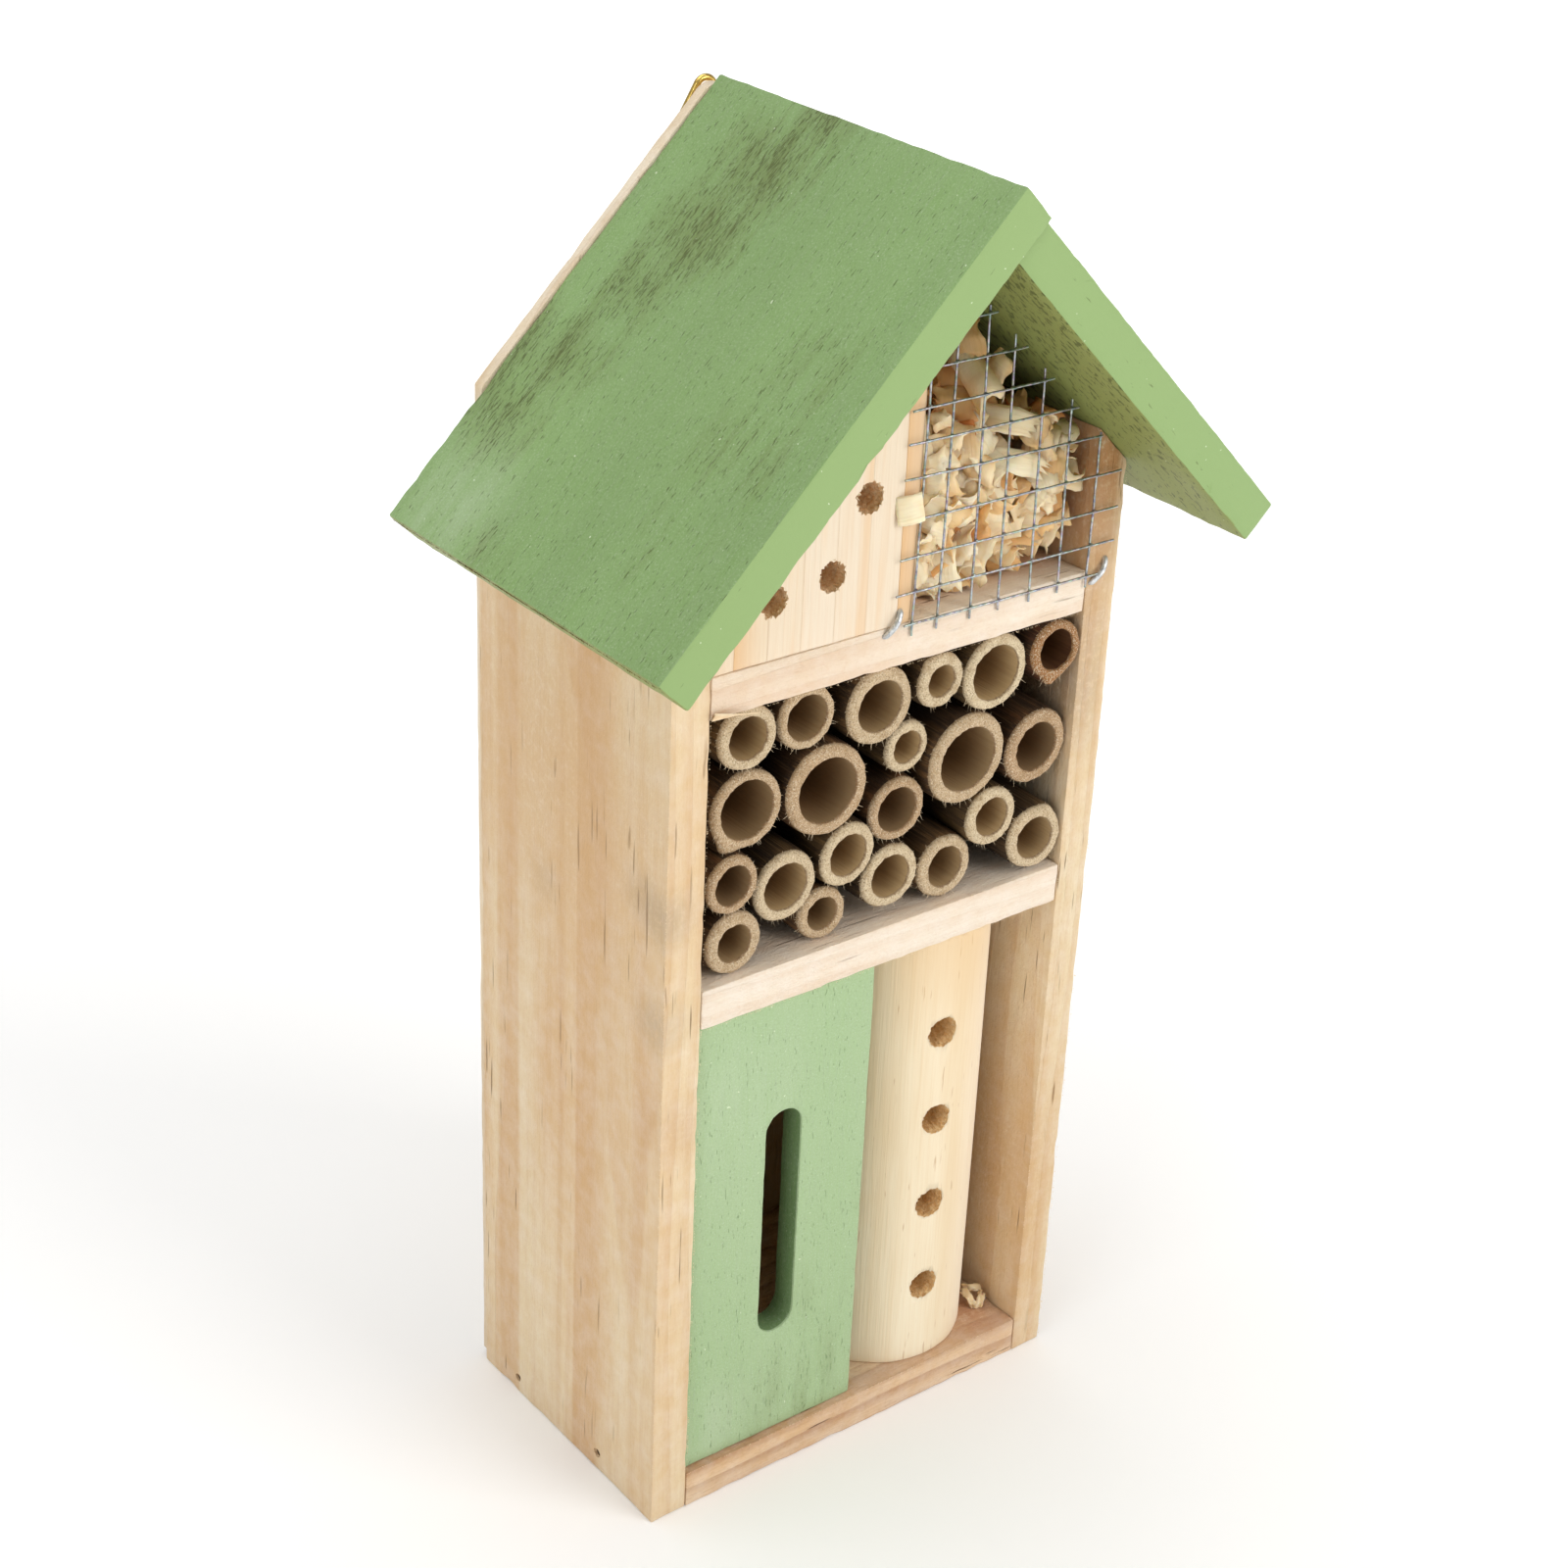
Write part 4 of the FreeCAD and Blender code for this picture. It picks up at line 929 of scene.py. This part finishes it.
for turn in range(2 * SLOT_ARC_STEPS + 2):
    upper = turn <= SLOT_ARC_STEPS
    angle = math.pi * (turn if upper else turn - 1) / SLOT_ARC_STEPS
    end = slot_high - slot_radius if upper else slot_low + slot_radius
    slot.append((slot_middle + slot_radius * math.cos(angle), end + slot_radius * math.sin(angle)))
square = [(lowest.x, lowest.z), (highest.x, lowest.z), (highest.x, highest.z), (lowest.x, highest.z)]
board = sawn_board(
    "butterfly_panel", soften=0.0005, step=0.0025, fret=0.0001, seed=6.4, loops=[square, slot]
)
piece = finished("butterfly_door", board, [door_green, slot_green])
for face in piece.data.polygons:
    inward = abs(face.center.x - slot_middle) < slot_radius + 0.0002 and slot_low < face.center.z < slot_high
    if inward and face.center.y > lowest.y + 0.0004:
        face.material_index = 1
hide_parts("butterfly_panel")

# ------------------------------------------------------------------------------ peeled log
# A round of pale softwood, peeled and turned smooth, stands on the floor. Four holes are drilled
# straight back into it, with torn mouths.

LOG_HOLE_RADIUS = 0.0032
LOG_HOLE_DEPTH = 0.030

log_wood = Finish("log_wood")
lowest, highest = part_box("nesting_log")
log_axis = (lowest + highest) / 2
trunk = log_wood.lay(log_wood.place, shift=(-log_axis.x, -log_axis.y, 0))
log_wide = log_wood.cloud(log_wood.lay(trunk, scale=(1, 1, 0.14)), 70.0, 3.0, 0.55)
log_fibre = log_wood.cloud(log_wood.lay(trunk, scale=(1, 1, 0.03)), 1700.0, 3.0, 0.6)
log_dash = log_wood.cloud(log_wood.lay(trunk, scale=(1, 1, 0.1)), 1500.0, 2.0, 0.5)
log_patch = log_wood.cloud(trunk, 42.0, 2.0, 0.5)
log_colour = log_wood.wash(tint(238, 224, 196), tint(230, 208, 172), log_wide, 0.38, 0.64)
log_colour = log_wood.coats(
    log_colour,
    (tint(226, 186, 130), log_patch, 0.58, 0.75, 0.3),
    (tint(212, 172, 116), log_fibre, 0.45, 0.75, 0.2),
    (tint(176, 128, 78), log_dash, 0.68, 0.74, 0.45),
)
# Painted light: the right side of the log is painted paler.
sunny = log_wood.reach(log_wood.axis(trunk, "X"), 0.003, 0.016, 0.0, 0.6)
log_colour = log_wood.over(sunny, log_colour, tint(255, 246, 232))
# Painted shade: the front of the log's top is painted darker and warmer.
log_top_shade = log_wood.near((log_axis.x, lowest.y, highest.z), 0.03)
log_colour = log_wood.over(log_wood.times(log_top_shade, 0.6), log_colour, tint(222, 188, 140))
log_gloss = log_wood.reach(log_fibre, 0.3, 0.7, 0.55, 0.72)
log_finish = log_wood.done(log_colour, log_gloss, log_wood.relief(log_fibre, 0.0001),
                           Specular_IOR_Level=0.35)

log = bmesh.new()
log_radius = (highest.x - lowest.x) / 2
log_height = highest.z - lowest.z
round_ends = {"cap_ends": True, "cap_tris": False, "segments": 120}
bmesh.ops.create_cone(log, radius1=log_radius, radius2=log_radius, depth=log_height, **round_ends)
ends = [edge for edge in log.edges if edge.calc_face_angle(0) > 1.0]
bmesh.ops.bevel(log, geom=ends, offset=0.0006, segments=3, affect="EDGES", profile=0.5, material=-1)
bmesh.ops.translate(log, verts=log.verts[:], vec=log_axis)
LOG_RINGS = 44
for ring in range(1, LOG_RINGS):
    sliced(log, (0, 0, lowest.z + log_height * ring / LOG_RINGS), (0, 0, 1))
for v in log.verts:
    out = Vector((v.co.x - log_axis.x, v.co.y - log_axis.y, 0))
    if out.length > 0.9 * log_radius:
        way = out.normalized()
        hew = noise.noise(Vector((way.x * 3.0, way.y * 3.0, v.co.z * 12)))
        v.co -= way * 0.00022 * (0.5 + hew)
log_hole_wood = drilled_wood("log_hole_wood", tint(252, 220, 166), tint(228, 180, 118))
piece = finished("peeled_log", log, [log_finish, log_hole_wood])
log_holes = openings("log_hole")
hole_mouth = log_axis.y - math.sqrt(log_radius ** 2 - (log_holes[0][0] - log_axis.x) ** 2)
drill(
    piece, log_holes, LOG_HOLE_RADIUS, LOG_HOLE_DEPTH, hole_mouth, mouth=0.0015, ragged=0.0005,
    seed=50.0, seed_step=2.7,
)
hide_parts("nesting_log")

# ------------------------------------------------------------------------------ wood shavings
# Planer shavings of pine fill the bin behind the mesh: thin ribbons, curled as they came off the blade, with
# torn ends. They are cream where light falls on them and orange in the folds; the orange of the folds and the
# browning of the deeper shavings are partly painted shade.

BIN_FRONT = -0.0292
BIN_LEFT = 0.0026
BIN_WALLS = (0.0017, 0.0412)
HEAP_FOOT = 0.1805
HEAP_RIGHT = 0.0365
HEAP_PEAK = 0.2360
HEAP_SLOPE = 0.93
BIN_FLOOR = 0.1790
APEX = 0.2478
SHAVING_THICKNESS = 0.00016
FLAKE_LONG = 11
FLAKE_WIDE = 7

shaving_paint = Finish("shaving")
ribbon_tone_and_shade = shaving_paint.kept("shaving_tone_and_shade")
ribbon_place = shaving_paint.kept("shaving_place", "Vector")
ribbon_fibre = shaving_paint.cloud(shaving_paint.lay(ribbon_place, scale=(0.06, 1, 1)), 2200.0, 3.0, 0.6)
ribbon_band = shaving_paint.cloud(shaving_paint.lay(ribbon_place, scale=(0.1, 1, 1)), 420.0, 2.0)
# The tone is each shaving's own browning with painted shade added: it rises where a shaving curls round and
# in the deeper layers.
shaving_colour = shaving_paint.wash(tint(253, 235, 200), tint(238, 190, 132), ribbon_tone_and_shade, 0.0, 0.5)
shaving_colour = shaving_paint.coats(
    shaving_colour,
    (tint(198, 124, 64), ribbon_tone_and_shade, 0.5, 1.0),
    (tint(232, 190, 136), ribbon_band, 0.5, 0.72, 0.35),
    (tint(206, 158, 104), ribbon_fibre, 0.5, 0.75, 0.3),
)
shaving = shaving_paint.done(
    shaving_colour, 0.62, shaving_paint.relief(ribbon_fibre, 0.00012),
    Subsurface_Weight=0.25, Subsurface_Scale=0.0012, Subsurface_Radius=(1.0, 0.5, 0.2),
    Specular_IOR_Level=0.3,
)


def shaving_turn(facing, lean):
    """The turn that points a shaving's face one way and leans the axis it is rolled round."""
    normal = Vector(facing).normalized()
    right = Vector((0, 0, 1)).cross(normal).normalized()
    above = normal.cross(right)
    axis = right * math.cos(lean) + above * math.sin(lean)
    return Matrix((axis.cross(normal), axis, normal)).transposed()


def flake(bm, draw, length, width, radius, tone, middle, turn, torn=1.0):
    """One shaving: a leaf of wood rolled along its length, tighter towards one end, with wavy
    sides and saw-toothed, torn ends."""
    made = bmesh.ops.create_grid(bm, x_segments=FLAKE_LONG, y_segments=FLAKE_WIDE, size=0.5)["verts"]
    shift = Vector([draw.uniform(0, 50) for axis in "XYZ"])
    teeth = [[0.10 * (row % 2) + draw.uniform(0.0, 0.07) for row in range(FLAKE_WIDE + 1)] for end in "AB"]
    tighter = draw.uniform(-0.5, 0.7)
    skew = draw.uniform(-0.35, 0.35)
    place = bm.verts.layers.float_vector["shaving_place"]
    shade = bm.verts.layers.float["shaving_tone_and_shade"]
    for v in made:
        along = v.co.x
        across = v.co.y
        row = round((across + 0.5) * FLAKE_WIDE)
        if abs(along) > 0.49:
            along += torn * (math.copysign(teeth[along > 0][row], along) - math.copysign(0.06, along))
        ripple = noise.noise(Vector((along * 3, round(across * 2), 3)) + shift)
        side = width * (across * (1.0 + 0.35 * torn * ripple) + torn * skew * along)
        frill = 0.0011 * torn * noise.noise(Vector((along * 5, across * 2, 7)) + shift)
        frill *= 0.25 + 1.9 * abs(across)
        crease = 0.0005 * torn * noise.noise(Vector((along * 9, across * 3, 1)) + shift)
        angle = along * length / radius * (1 + tighter * along)
        reach = radius * (1 - 0.12 * abs(angle)) + frill + crease
        v[place] = Vector((along * length, side, 0)) + shift * 0.02
        # painted shade: the tone rises as the shaving curls round
        v[shade] = min(1.0, max(0.0, tone + 0.10 * abs(angle) + 0.25 * noise.noise(v.co * 2 + shift)))
        v.co = Vector((reach * math.sin(angle), side, reach * math.cos(angle) - radius))
    put(bm, made, turn, middle)
    return made


def new_heap():
    heap = bmesh.new()
    heap.verts.layers.float_vector.new("shaving_place")
    heap.verts.layers.float.new("shaving_tone_and_shade")
    return heap


def thickened(piece):
    """Give paper-thin shavings the thickness of the planer's cut."""
    cut = piece.modifiers.new("thickness", "SOLIDIFY")
    cut.thickness = SHAVING_THICKNESS
    cut.offset = 0.0


def in_bin(made):
    """Push the corners that stick out of the bin back inside it."""
    for v in made:
        v.co.y = max(v.co.y, BIN_FRONT)
        v.co.z = max(v.co.z, BIN_FLOOR)
        v.co.x = min(max(v.co.x, BIN_WALLS[0]), BIN_WALLS[1])
        v.co.z = min(v.co.z, APEX - 0.0006 - abs(v.co.x))


def heap_front(across, height):
    """How far forward the heap stands: its foot lies back from the mesh, most at the right."""
    rise = min(1.0, max(0.0, (height - BIN_FLOOR) / 0.018))
    return BIN_FRONT + (0.0030 + 0.18 * across) * (1 - rise) ** 1.4


chance = random.Random(8)
heap = new_heap()
# Layers of the heap: how many, nearest and deepest behind its front, browning, tumble and top. The browning
# grows in the deeper layers as painted shade.
LAYERS = (
    (80, 0.0008, 0.0042, 0.15, 0.5, 0.2125),
    (85, 0.0042, 0.0100, 0.6, 0.7, 0.2200),
    (70, 0.0110, 0.0210, 0.9, 0.8, 0.2400),
)
OUTWARD = Vector((-0.64, -0.69, 0.35))
for count, nearest, deepest, browning_and_depth_shade, tumble, top in LAYERS:
    for number in range(count):
        across = chance.uniform(BIN_LEFT, HEAP_RIGHT)
        ceiling = min(top, HEAP_PEAK - HEAP_SLOPE * across)
        height = chance.uniform(HEAP_FOOT, ceiling)
        depth = heap_front(across, height) + 0.3 * max(0.0, height - 0.222) + chance.uniform(nearest, deepest)
        tone = min(1.0, max(0.0, chance.gauss(browning_and_depth_shade, 0.22)))
        facing = OUTWARD + Vector([chance.gauss(0, tumble) for axis in "XYZ"])
        made = flake(
            heap, chance, chance.uniform(0.006, 0.012), chance.uniform(0.0045, 0.0085),
            chance.uniform(0.0025, 0.0065), tone, Vector((across, depth, height)),
            shaving_turn(facing, chance.uniform(0, math.tau)),
        )
        in_bin(made)

# The large ones that show against the mesh: place, length, width, radius, tone, and the lean of
# the axis in degrees. The first is the long roll under the roof.
LARGE = (
    ((0.0150, -0.0262, 0.2200), 0.0120, 0.0175, 0.0032, 0.05, -43),
    ((0.0155, -0.0215, 0.2262), 0.0080, 0.0060, 0.0060, 0.45, 20),
    ((0.0205, -0.0255, 0.2205), 0.0080, 0.0045, 0.0022, 0.25, 60),
    ((0.0200, -0.0272, 0.2115), 0.0130, 0.0050, 0.0110, 0.05, 88),
    ((0.0075, -0.0265, 0.2135), 0.0070, 0.0040, 0.0020, 0.20, 30),
    ((0.0120, -0.0262, 0.2065), 0.0100, 0.0080, 0.0060, 0.20, 10),
    ((0.0205, -0.0270, 0.2040), 0.0190, 0.0045, 0.0130, 0.00, 96),
    ((0.0330, -0.0240, 0.2085), 0.0060, 0.0050, 0.0060, 0.85, 40),
    ((0.0360, -0.0255, 0.2035), 0.0060, 0.0045, 0.0060, 0.30, 110),
    ((0.0310, -0.0268, 0.1962), 0.0095, 0.0062, 0.0080, 0.05, 80),
    ((0.0370, -0.0262, 0.1968), 0.0085, 0.0060, 0.0070, 0.15, 100),
    ((0.0382, -0.0262, 0.1885), 0.0110, 0.0035, 0.0022, 0.30, 15),
    ((0.0350, -0.0245, 0.1872), 0.0110, 0.0035, 0.0024, 0.20, -30),
    ((0.0288, -0.0280, 0.1948), 0.0045, 0.0045, 0.0080, 0.00, 60),
    ((0.0223, -0.0258, 0.1918), 0.0090, 0.0065, 0.0060, 0.15, 120),
    ((0.0085, -0.0262, 0.1872), 0.0095, 0.0085, 0.0100, 0.00, 5),
    ((0.0170, -0.0255, 0.1862), 0.0100, 0.0080, 0.0090, 0.02, -15),
    ((0.0262, -0.0240, 0.1848), 0.0050, 0.0040, 0.0040, 0.20, 25),
    ((0.0330, -0.0238, 0.1848), 0.0060, 0.0045, 0.0050, 0.20, -10),
    ((0.0066, -0.0272, 0.1965), 0.0095, 0.0075, 0.0080, 0.10, 70),
    ((0.0150, -0.0270, 0.1985), 0.0085, 0.0065, 0.0060, 0.20, -60),
)
for place, length, width, radius, tone, lean in LARGE:
    facing = OUTWARD + Vector([chance.gauss(0, 0.22) for axis in "XYZ"])
    turn = shaving_turn(facing, math.radians(lean))
    made = flake(heap, chance, length, width, radius, tone, Vector(place), turn)
    in_bin(made)
piece = finished("loose_shavings", heap, [shaving], 60)
thickened(piece)
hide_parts("wood_shavings")

# One flat chip has slipped out beside the mesh, and torn strips lie on the floor by the log.
chips = new_heap()
chip_turn = shaving_turn((-0.25, -1.0, 0.15), math.radians(98))
flake(chips, chance, 0.0052, 0.0052, 0.0110, 0.0, Vector((-0.0016, -0.0316, 0.2006)), chip_turn,
      torn=0.15)
FLOOR_TOP = 0.0084
RIGHT_INSIDE = 0.0410
STRIPS = ((0.0372, -0.0220, 0.0105, 30), (0.0392, -0.0205, 0.0118, 80), (0.0388, -0.0230, 0.0098, 150))
for across, back, height, lean in STRIPS:
    turn = shaving_turn((-0.3, -0.8, 0.5), math.radians(lean))
    made = flake(chips, chance, 0.0052, 0.0015, 0.0030, 0.15, Vector((across, back, height)), turn)
    for v in made:
        v.co.z = max(v.co.z, FLOOR_TOP)
        v.co.x = min(v.co.x, RIGHT_INSIDE)
thickened(finished("stray_shavings", chips, [shaving], 60))

# ------------------------------------------------------------------------------ wire mesh
# Galvanised wire, welded where it crosses, covers the bin: uprights against the wood and crosses
# in front of them, a little wavy, with every end left free. Two staples hold it at the bottom.

WIRE = 0.00022
UPRIGHT_BACK = -0.0304
CROSS_BACK = -0.03088
MESH_FOOT = 0.1760
# Across at the foot, at mid height and at the head of each upright wire.
UPRIGHTS = (
    (0.0007, 0.0012, 0.0015), (0.0064, 0.0068, 0.0069), (0.0141, 0.0140, 0.0136),
    (0.0206, 0.0203, 0.0198), (0.0280, 0.0276, 0.0272), (0.0349, 0.0345, 0.0342),
    (0.0418, 0.0421, 0.0418),
)
# Height at the left and at the right of each cross wire, and how far left and right it reaches.
CROSSES = (
    (0.1786, 0.1780, -0.0014, 0.0450), (0.1846, 0.1840, -0.0036, 0.0475),
    (0.1912, 0.1905, -0.0032, 0.0476), (0.1982, 0.1975, -0.0030, 0.0476),
    (0.2058, 0.2051, -0.0033, 0.0476), (0.2121, 0.2116, -0.0028, 0.0476),
    (0.2181, 0.2181, -0.0024, 0.0476), (0.2251, 0.2249, -0.0022, 0.0476),
    (0.2325, 0.2324, -0.0020, 0.0476),
)

zinc = Finish("zinc_wire")
zinc_cloud = zinc.cloud(zinc.place, 900.0, 3.0, 0.6)
zinc_spangle = zinc.cells(zinc.place, 1500.0, "Color")
zinc_colour = zinc.wash(tint(188, 192, 195), tint(128, 132, 135), zinc_cloud, 0.35, 0.65)
zinc_colour = zinc.over(0.25, zinc_colour, zinc_spangle, "SOFT_LIGHT")
zinc_wire = zinc.done(zinc_colour, zinc.reach(zinc_cloud, 0.3, 0.7, 0.28, 0.5),
                      zinc.relief(zinc_cloud, 0.00012), Metallic=0.9)


def drawn_wire(points, radius):
    """A round wire through the points, as a mesh."""
    curve = bpy.data.curves.new("wire", "CURVE")
    curve.dimensions = "3D"
    curve.bevel_depth = radius
    curve.bevel_resolution = 2
    curve.resolution_u = 3
    curve.use_fill_caps = True
    line = curve.splines.new("NURBS")
    line.points.add(len(points) - 1)
    for spot, point in zip(line.points, points):
        spot.co = (*point, 1.0)
    line.order_u = 3
    line.use_endpoint_u = True
    holder = bpy.data.objects.new("wire", curve)
    mesh = bpy.data.meshes.new_from_object(holder)
    bpy.data.objects.remove(holder)
    return mesh


def upright_at(number, height):
    """Where an upright wire stands at a height."""
    foot, middle, head = UPRIGHTS[number]
    share = (height - MESH_FOOT) / 0.050
    bow = middle - 0.5 * (foot + head)
    across = foot + (head - foot) * share + 4.0 * bow * share * (1.0 - share)
    return across + 0.00008 * math.sin(height * 900 + number * 2)


def cross_at(number, across):
    """How high a cross wire runs at a place across."""
    left, right = CROSSES[number][:2]
    height = left + (right - left) * across / 0.045
    return height + 0.00008 * math.sin(across * 900 + number)


chance = random.Random(5)
wires = bmesh.new()
lowest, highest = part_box("wire_mesh")
for number in range(len(UPRIGHTS)):
    low = MESH_FOOT + chance.uniform(-0.0003, 0.0003)
    high = min(highest.z, APEX - abs(UPRIGHTS[number][2]) - 0.0004)
    steps = int((high - low) / 0.0034)
    heights = [low + (high - low) * step / steps for step in range(steps + 1)]
    points = [(upright_at(number, height), UPRIGHT_BACK, height) for height in heights]
    wires.from_mesh(drawn_wire(points, WIRE))
for number, (left, right, low, high) in enumerate(CROSSES):
    room = APEX - right - 0.0006
    high = min(high, room)
    steps = int((high - low) / 0.0034)
    spots = [low + (high - low) * step / steps for step in range(steps + 1)]
    points = [(across, CROSS_BACK, cross_at(number, across)) for across in spots]
    wires.from_mesh(drawn_wire(points, WIRE))
    for upright in range(len(UPRIGHTS)):
        across = upright_at(upright, left)
        if low < across < high and left < APEX - abs(across):
            bead = bmesh.ops.create_icosphere(wires, subdivisions=2, radius=WIRE * 1.6)["verts"]
            for v in bead:
                v.co.x *= 1.3
                v.co *= 1.0 + 0.25 * noise.noise(v.co * 3000 + Vector((number, upright, 0)))
            spot = (across, (CROSS_BACK + UPRIGHT_BACK) / 2, cross_at(number, across))
            bmesh.ops.translate(wires, verts=bead, vec=spot)
piece = finished("galvanised_mesh", wires, [zinc_wire], 60)
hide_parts("wire_mesh")

STAPLES = ((-0.0034, 0.1792), (0.0450, 0.1782))
STAPLE_LEAN = 54.0
STAPLE_HALF = 0.0026
STAPLE_WIRE = 0.00055
staples = bmesh.new()
for across, height in STAPLES:
    crown = [
        (-STAPLE_HALF, -0.0285, 0), (-STAPLE_HALF, -0.0298, 0), (-STAPLE_HALF * 0.96, -0.0303, 0),
        (-STAPLE_HALF * 0.5, -0.0308, 0.0001), (0, -0.0311, 0), (STAPLE_HALF * 0.5, -0.0308, -0.0001),
        (STAPLE_HALF * 0.96, -0.0303, 0), (STAPLE_HALF, -0.0298, 0), (STAPLE_HALF, -0.0285, 0),
    ]
    shape = drawn_wire(crown, STAPLE_WIRE)
    shape.transform(Matrix.Rotation(math.radians(-STAPLE_LEAN), 4, "Y"))
    shape.transform(Matrix.Translation((across, 0, height)))
    staples.from_mesh(shape)
bright = Finish("staple_zinc")
bright_cloud = bright.cloud(bright.place, 1400.0, 3.0, 0.6)
bright_colour = bright.wash(tint(232, 234, 236), tint(168, 172, 176), bright_cloud, 0.35, 0.65)
staple_zinc = bright.done(bright_colour, bright.reach(bright_cloud, 0.3, 0.7, 0.35, 0.55),
                          bright.relief(bright_cloud, 0.00012), Metallic=0.8)
piece = finished("staple_wires", staples, [staple_zinc], 60)
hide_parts("mesh_staples")

# ------------------------------------------------------------------------------ roof
# Two pine boards make the roof, the left one running over the end of the right one. They are
# painted green all over; the planed tops hold dirt in their pores, the sawn fronts are fresher.

ROOF_FRESH = tint(136, 168, 104)
ROOF_DULL = tint(126, 156, 96)
ROOF_PORE = tint(84, 94, 46)
ROOF_EDGE = tint(140, 167, 106)
ROOF_UNDER = tint(138, 148, 84)
EAVE_RISE = 0.0057


def on_slope(node, forward, up):
    """The place on a roof board's top, forward from the middle and up from the eave."""
    lowest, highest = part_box(node)
    way = 1.0 if node.endswith("left") else -1.0
    eave = lowest.x if way > 0 else highest.x
    step = up * math.sqrt(0.5)
    return (eave + way * step, -forward, lowest.z + EAVE_RISE + step)


# Dirt on the tops: forward, up the slope, size and strength.
LEFT_DIRT = (
    (-0.021, 0.026, 0.018, 0.8), (-0.018, 0.040, 0.019, 0.9), (-0.014, 0.056, 0.018, 0.8),
    (-0.008, 0.070, 0.021, 0.9), (-0.004, 0.084, 0.021, 1.0), (0.001, 0.098, 0.020, 0.9),
    (0.035, 0.020, 0.018, 0.36), (0.036, 0.038, 0.019, 0.4), (0.035, 0.056, 0.018, 0.36),
    (-0.024, 0.106, 0.014, 0.5), (0.022, 0.106, 0.014, 0.4), (-0.002, 0.003, 0.013, 0.5),
)
RIGHT_DIRT = ((0.010, 0.030, 0.020, 0.5), (-0.012, 0.060, 0.022, 0.6), (0.030, 0.070, 0.018, 0.4))
roof_paint = {}
for node, turn, dirt_spots in (
    ("roof_board_left", (0, -45, 0), LEFT_DIRT),
    ("roof_board_right", (0, 45, 0), RIGHT_DIRT),
):
    grime = [(on_slope(node, forward, up), size, amount) for forward, up, size, amount in dirt_spots]
    roof_paint[node] = green_paint(
        node.replace("roof_board", "roof_green"), turn, ROOF_FRESH, ROOF_DULL, ROOF_PORE, ROOF_EDGE,
        ROOF_UNDER, grime=grime, pores=0.75, haze=((on_slope(node, -0.018, 0.008), 0.022, 0.14),),
    )
for number, (node, material) in enumerate(roof_paint.items()):
    board = sawn_board(node, soften=0.0005, step=0.0028, fret=0.00018, seed=number + 12.4)
    piece = finished(node.replace("board", "slope"), board, [material])
    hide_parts(node)

# the brown fringe of raw wood that the saw left along the left eave, only thinly painted
crust_paint = Finish("eave_crust")
crust_shade = crust_paint.cloud(crust_paint.place, 900.0, 2.0)
crust_share = crust_paint.reach(crust_shade, 0.35, 0.65)
crust_colour = crust_paint.over(crust_share, tint(84, 84, 40), tint(140, 112, 62))
crust = crust_paint.done(crust_colour, 0.85, Specular_IOR_Level=0.2)
chance = random.Random(17)
hairs = bmesh.new()
lowest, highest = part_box("roof_board_left")
eave = lowest.z + EAVE_RISE - 0.0001
for forward, back, count in ((lowest.y, highest.y, 500), (lowest.y + 0.02, lowest.y + 0.06, 400)):
    start = (lowest.x + 0.0004, forward + 0.001, eave - 0.0002)
    end = (lowest.x + 0.0004, back - 0.001, eave - 0.0002)
    fur(hairs, chance, start, end, (0.9, 0, -1.2), count, longest=0.0011)
finished("eave_fringe", hairs, [crust])

# ------------------------------------------------------------------------------ hanger
# A ring of brass wire hangs in a brass strap that is rolled round it, held by one round-head
# screw into the back. The ring is the only piece that swings.

brass = Finish("hanger_brass")
brass_cloud = brass.cloud(brass.place, 600.0, 3.0, 0.6)
brass_line = brass.cloud(brass.lay(brass.place, scale=(1, 1, 0.1)), 3000.0, 2.0)
brass_colour = brass.wash(tint(232, 200, 112), tint(196, 152, 70), brass_cloud, 0.4, 0.7)
brass_gloss = brass.reach(brass_line, 0.3, 0.7, 0.12, 0.3)
hanger_brass = brass.done(brass_colour, brass_gloss, brass.relief(brass_line, 0.00002), Metallic=1.0)
refinish(("hanger_strap", "hanger_ring", "hanger_screw"), hanger_brass)
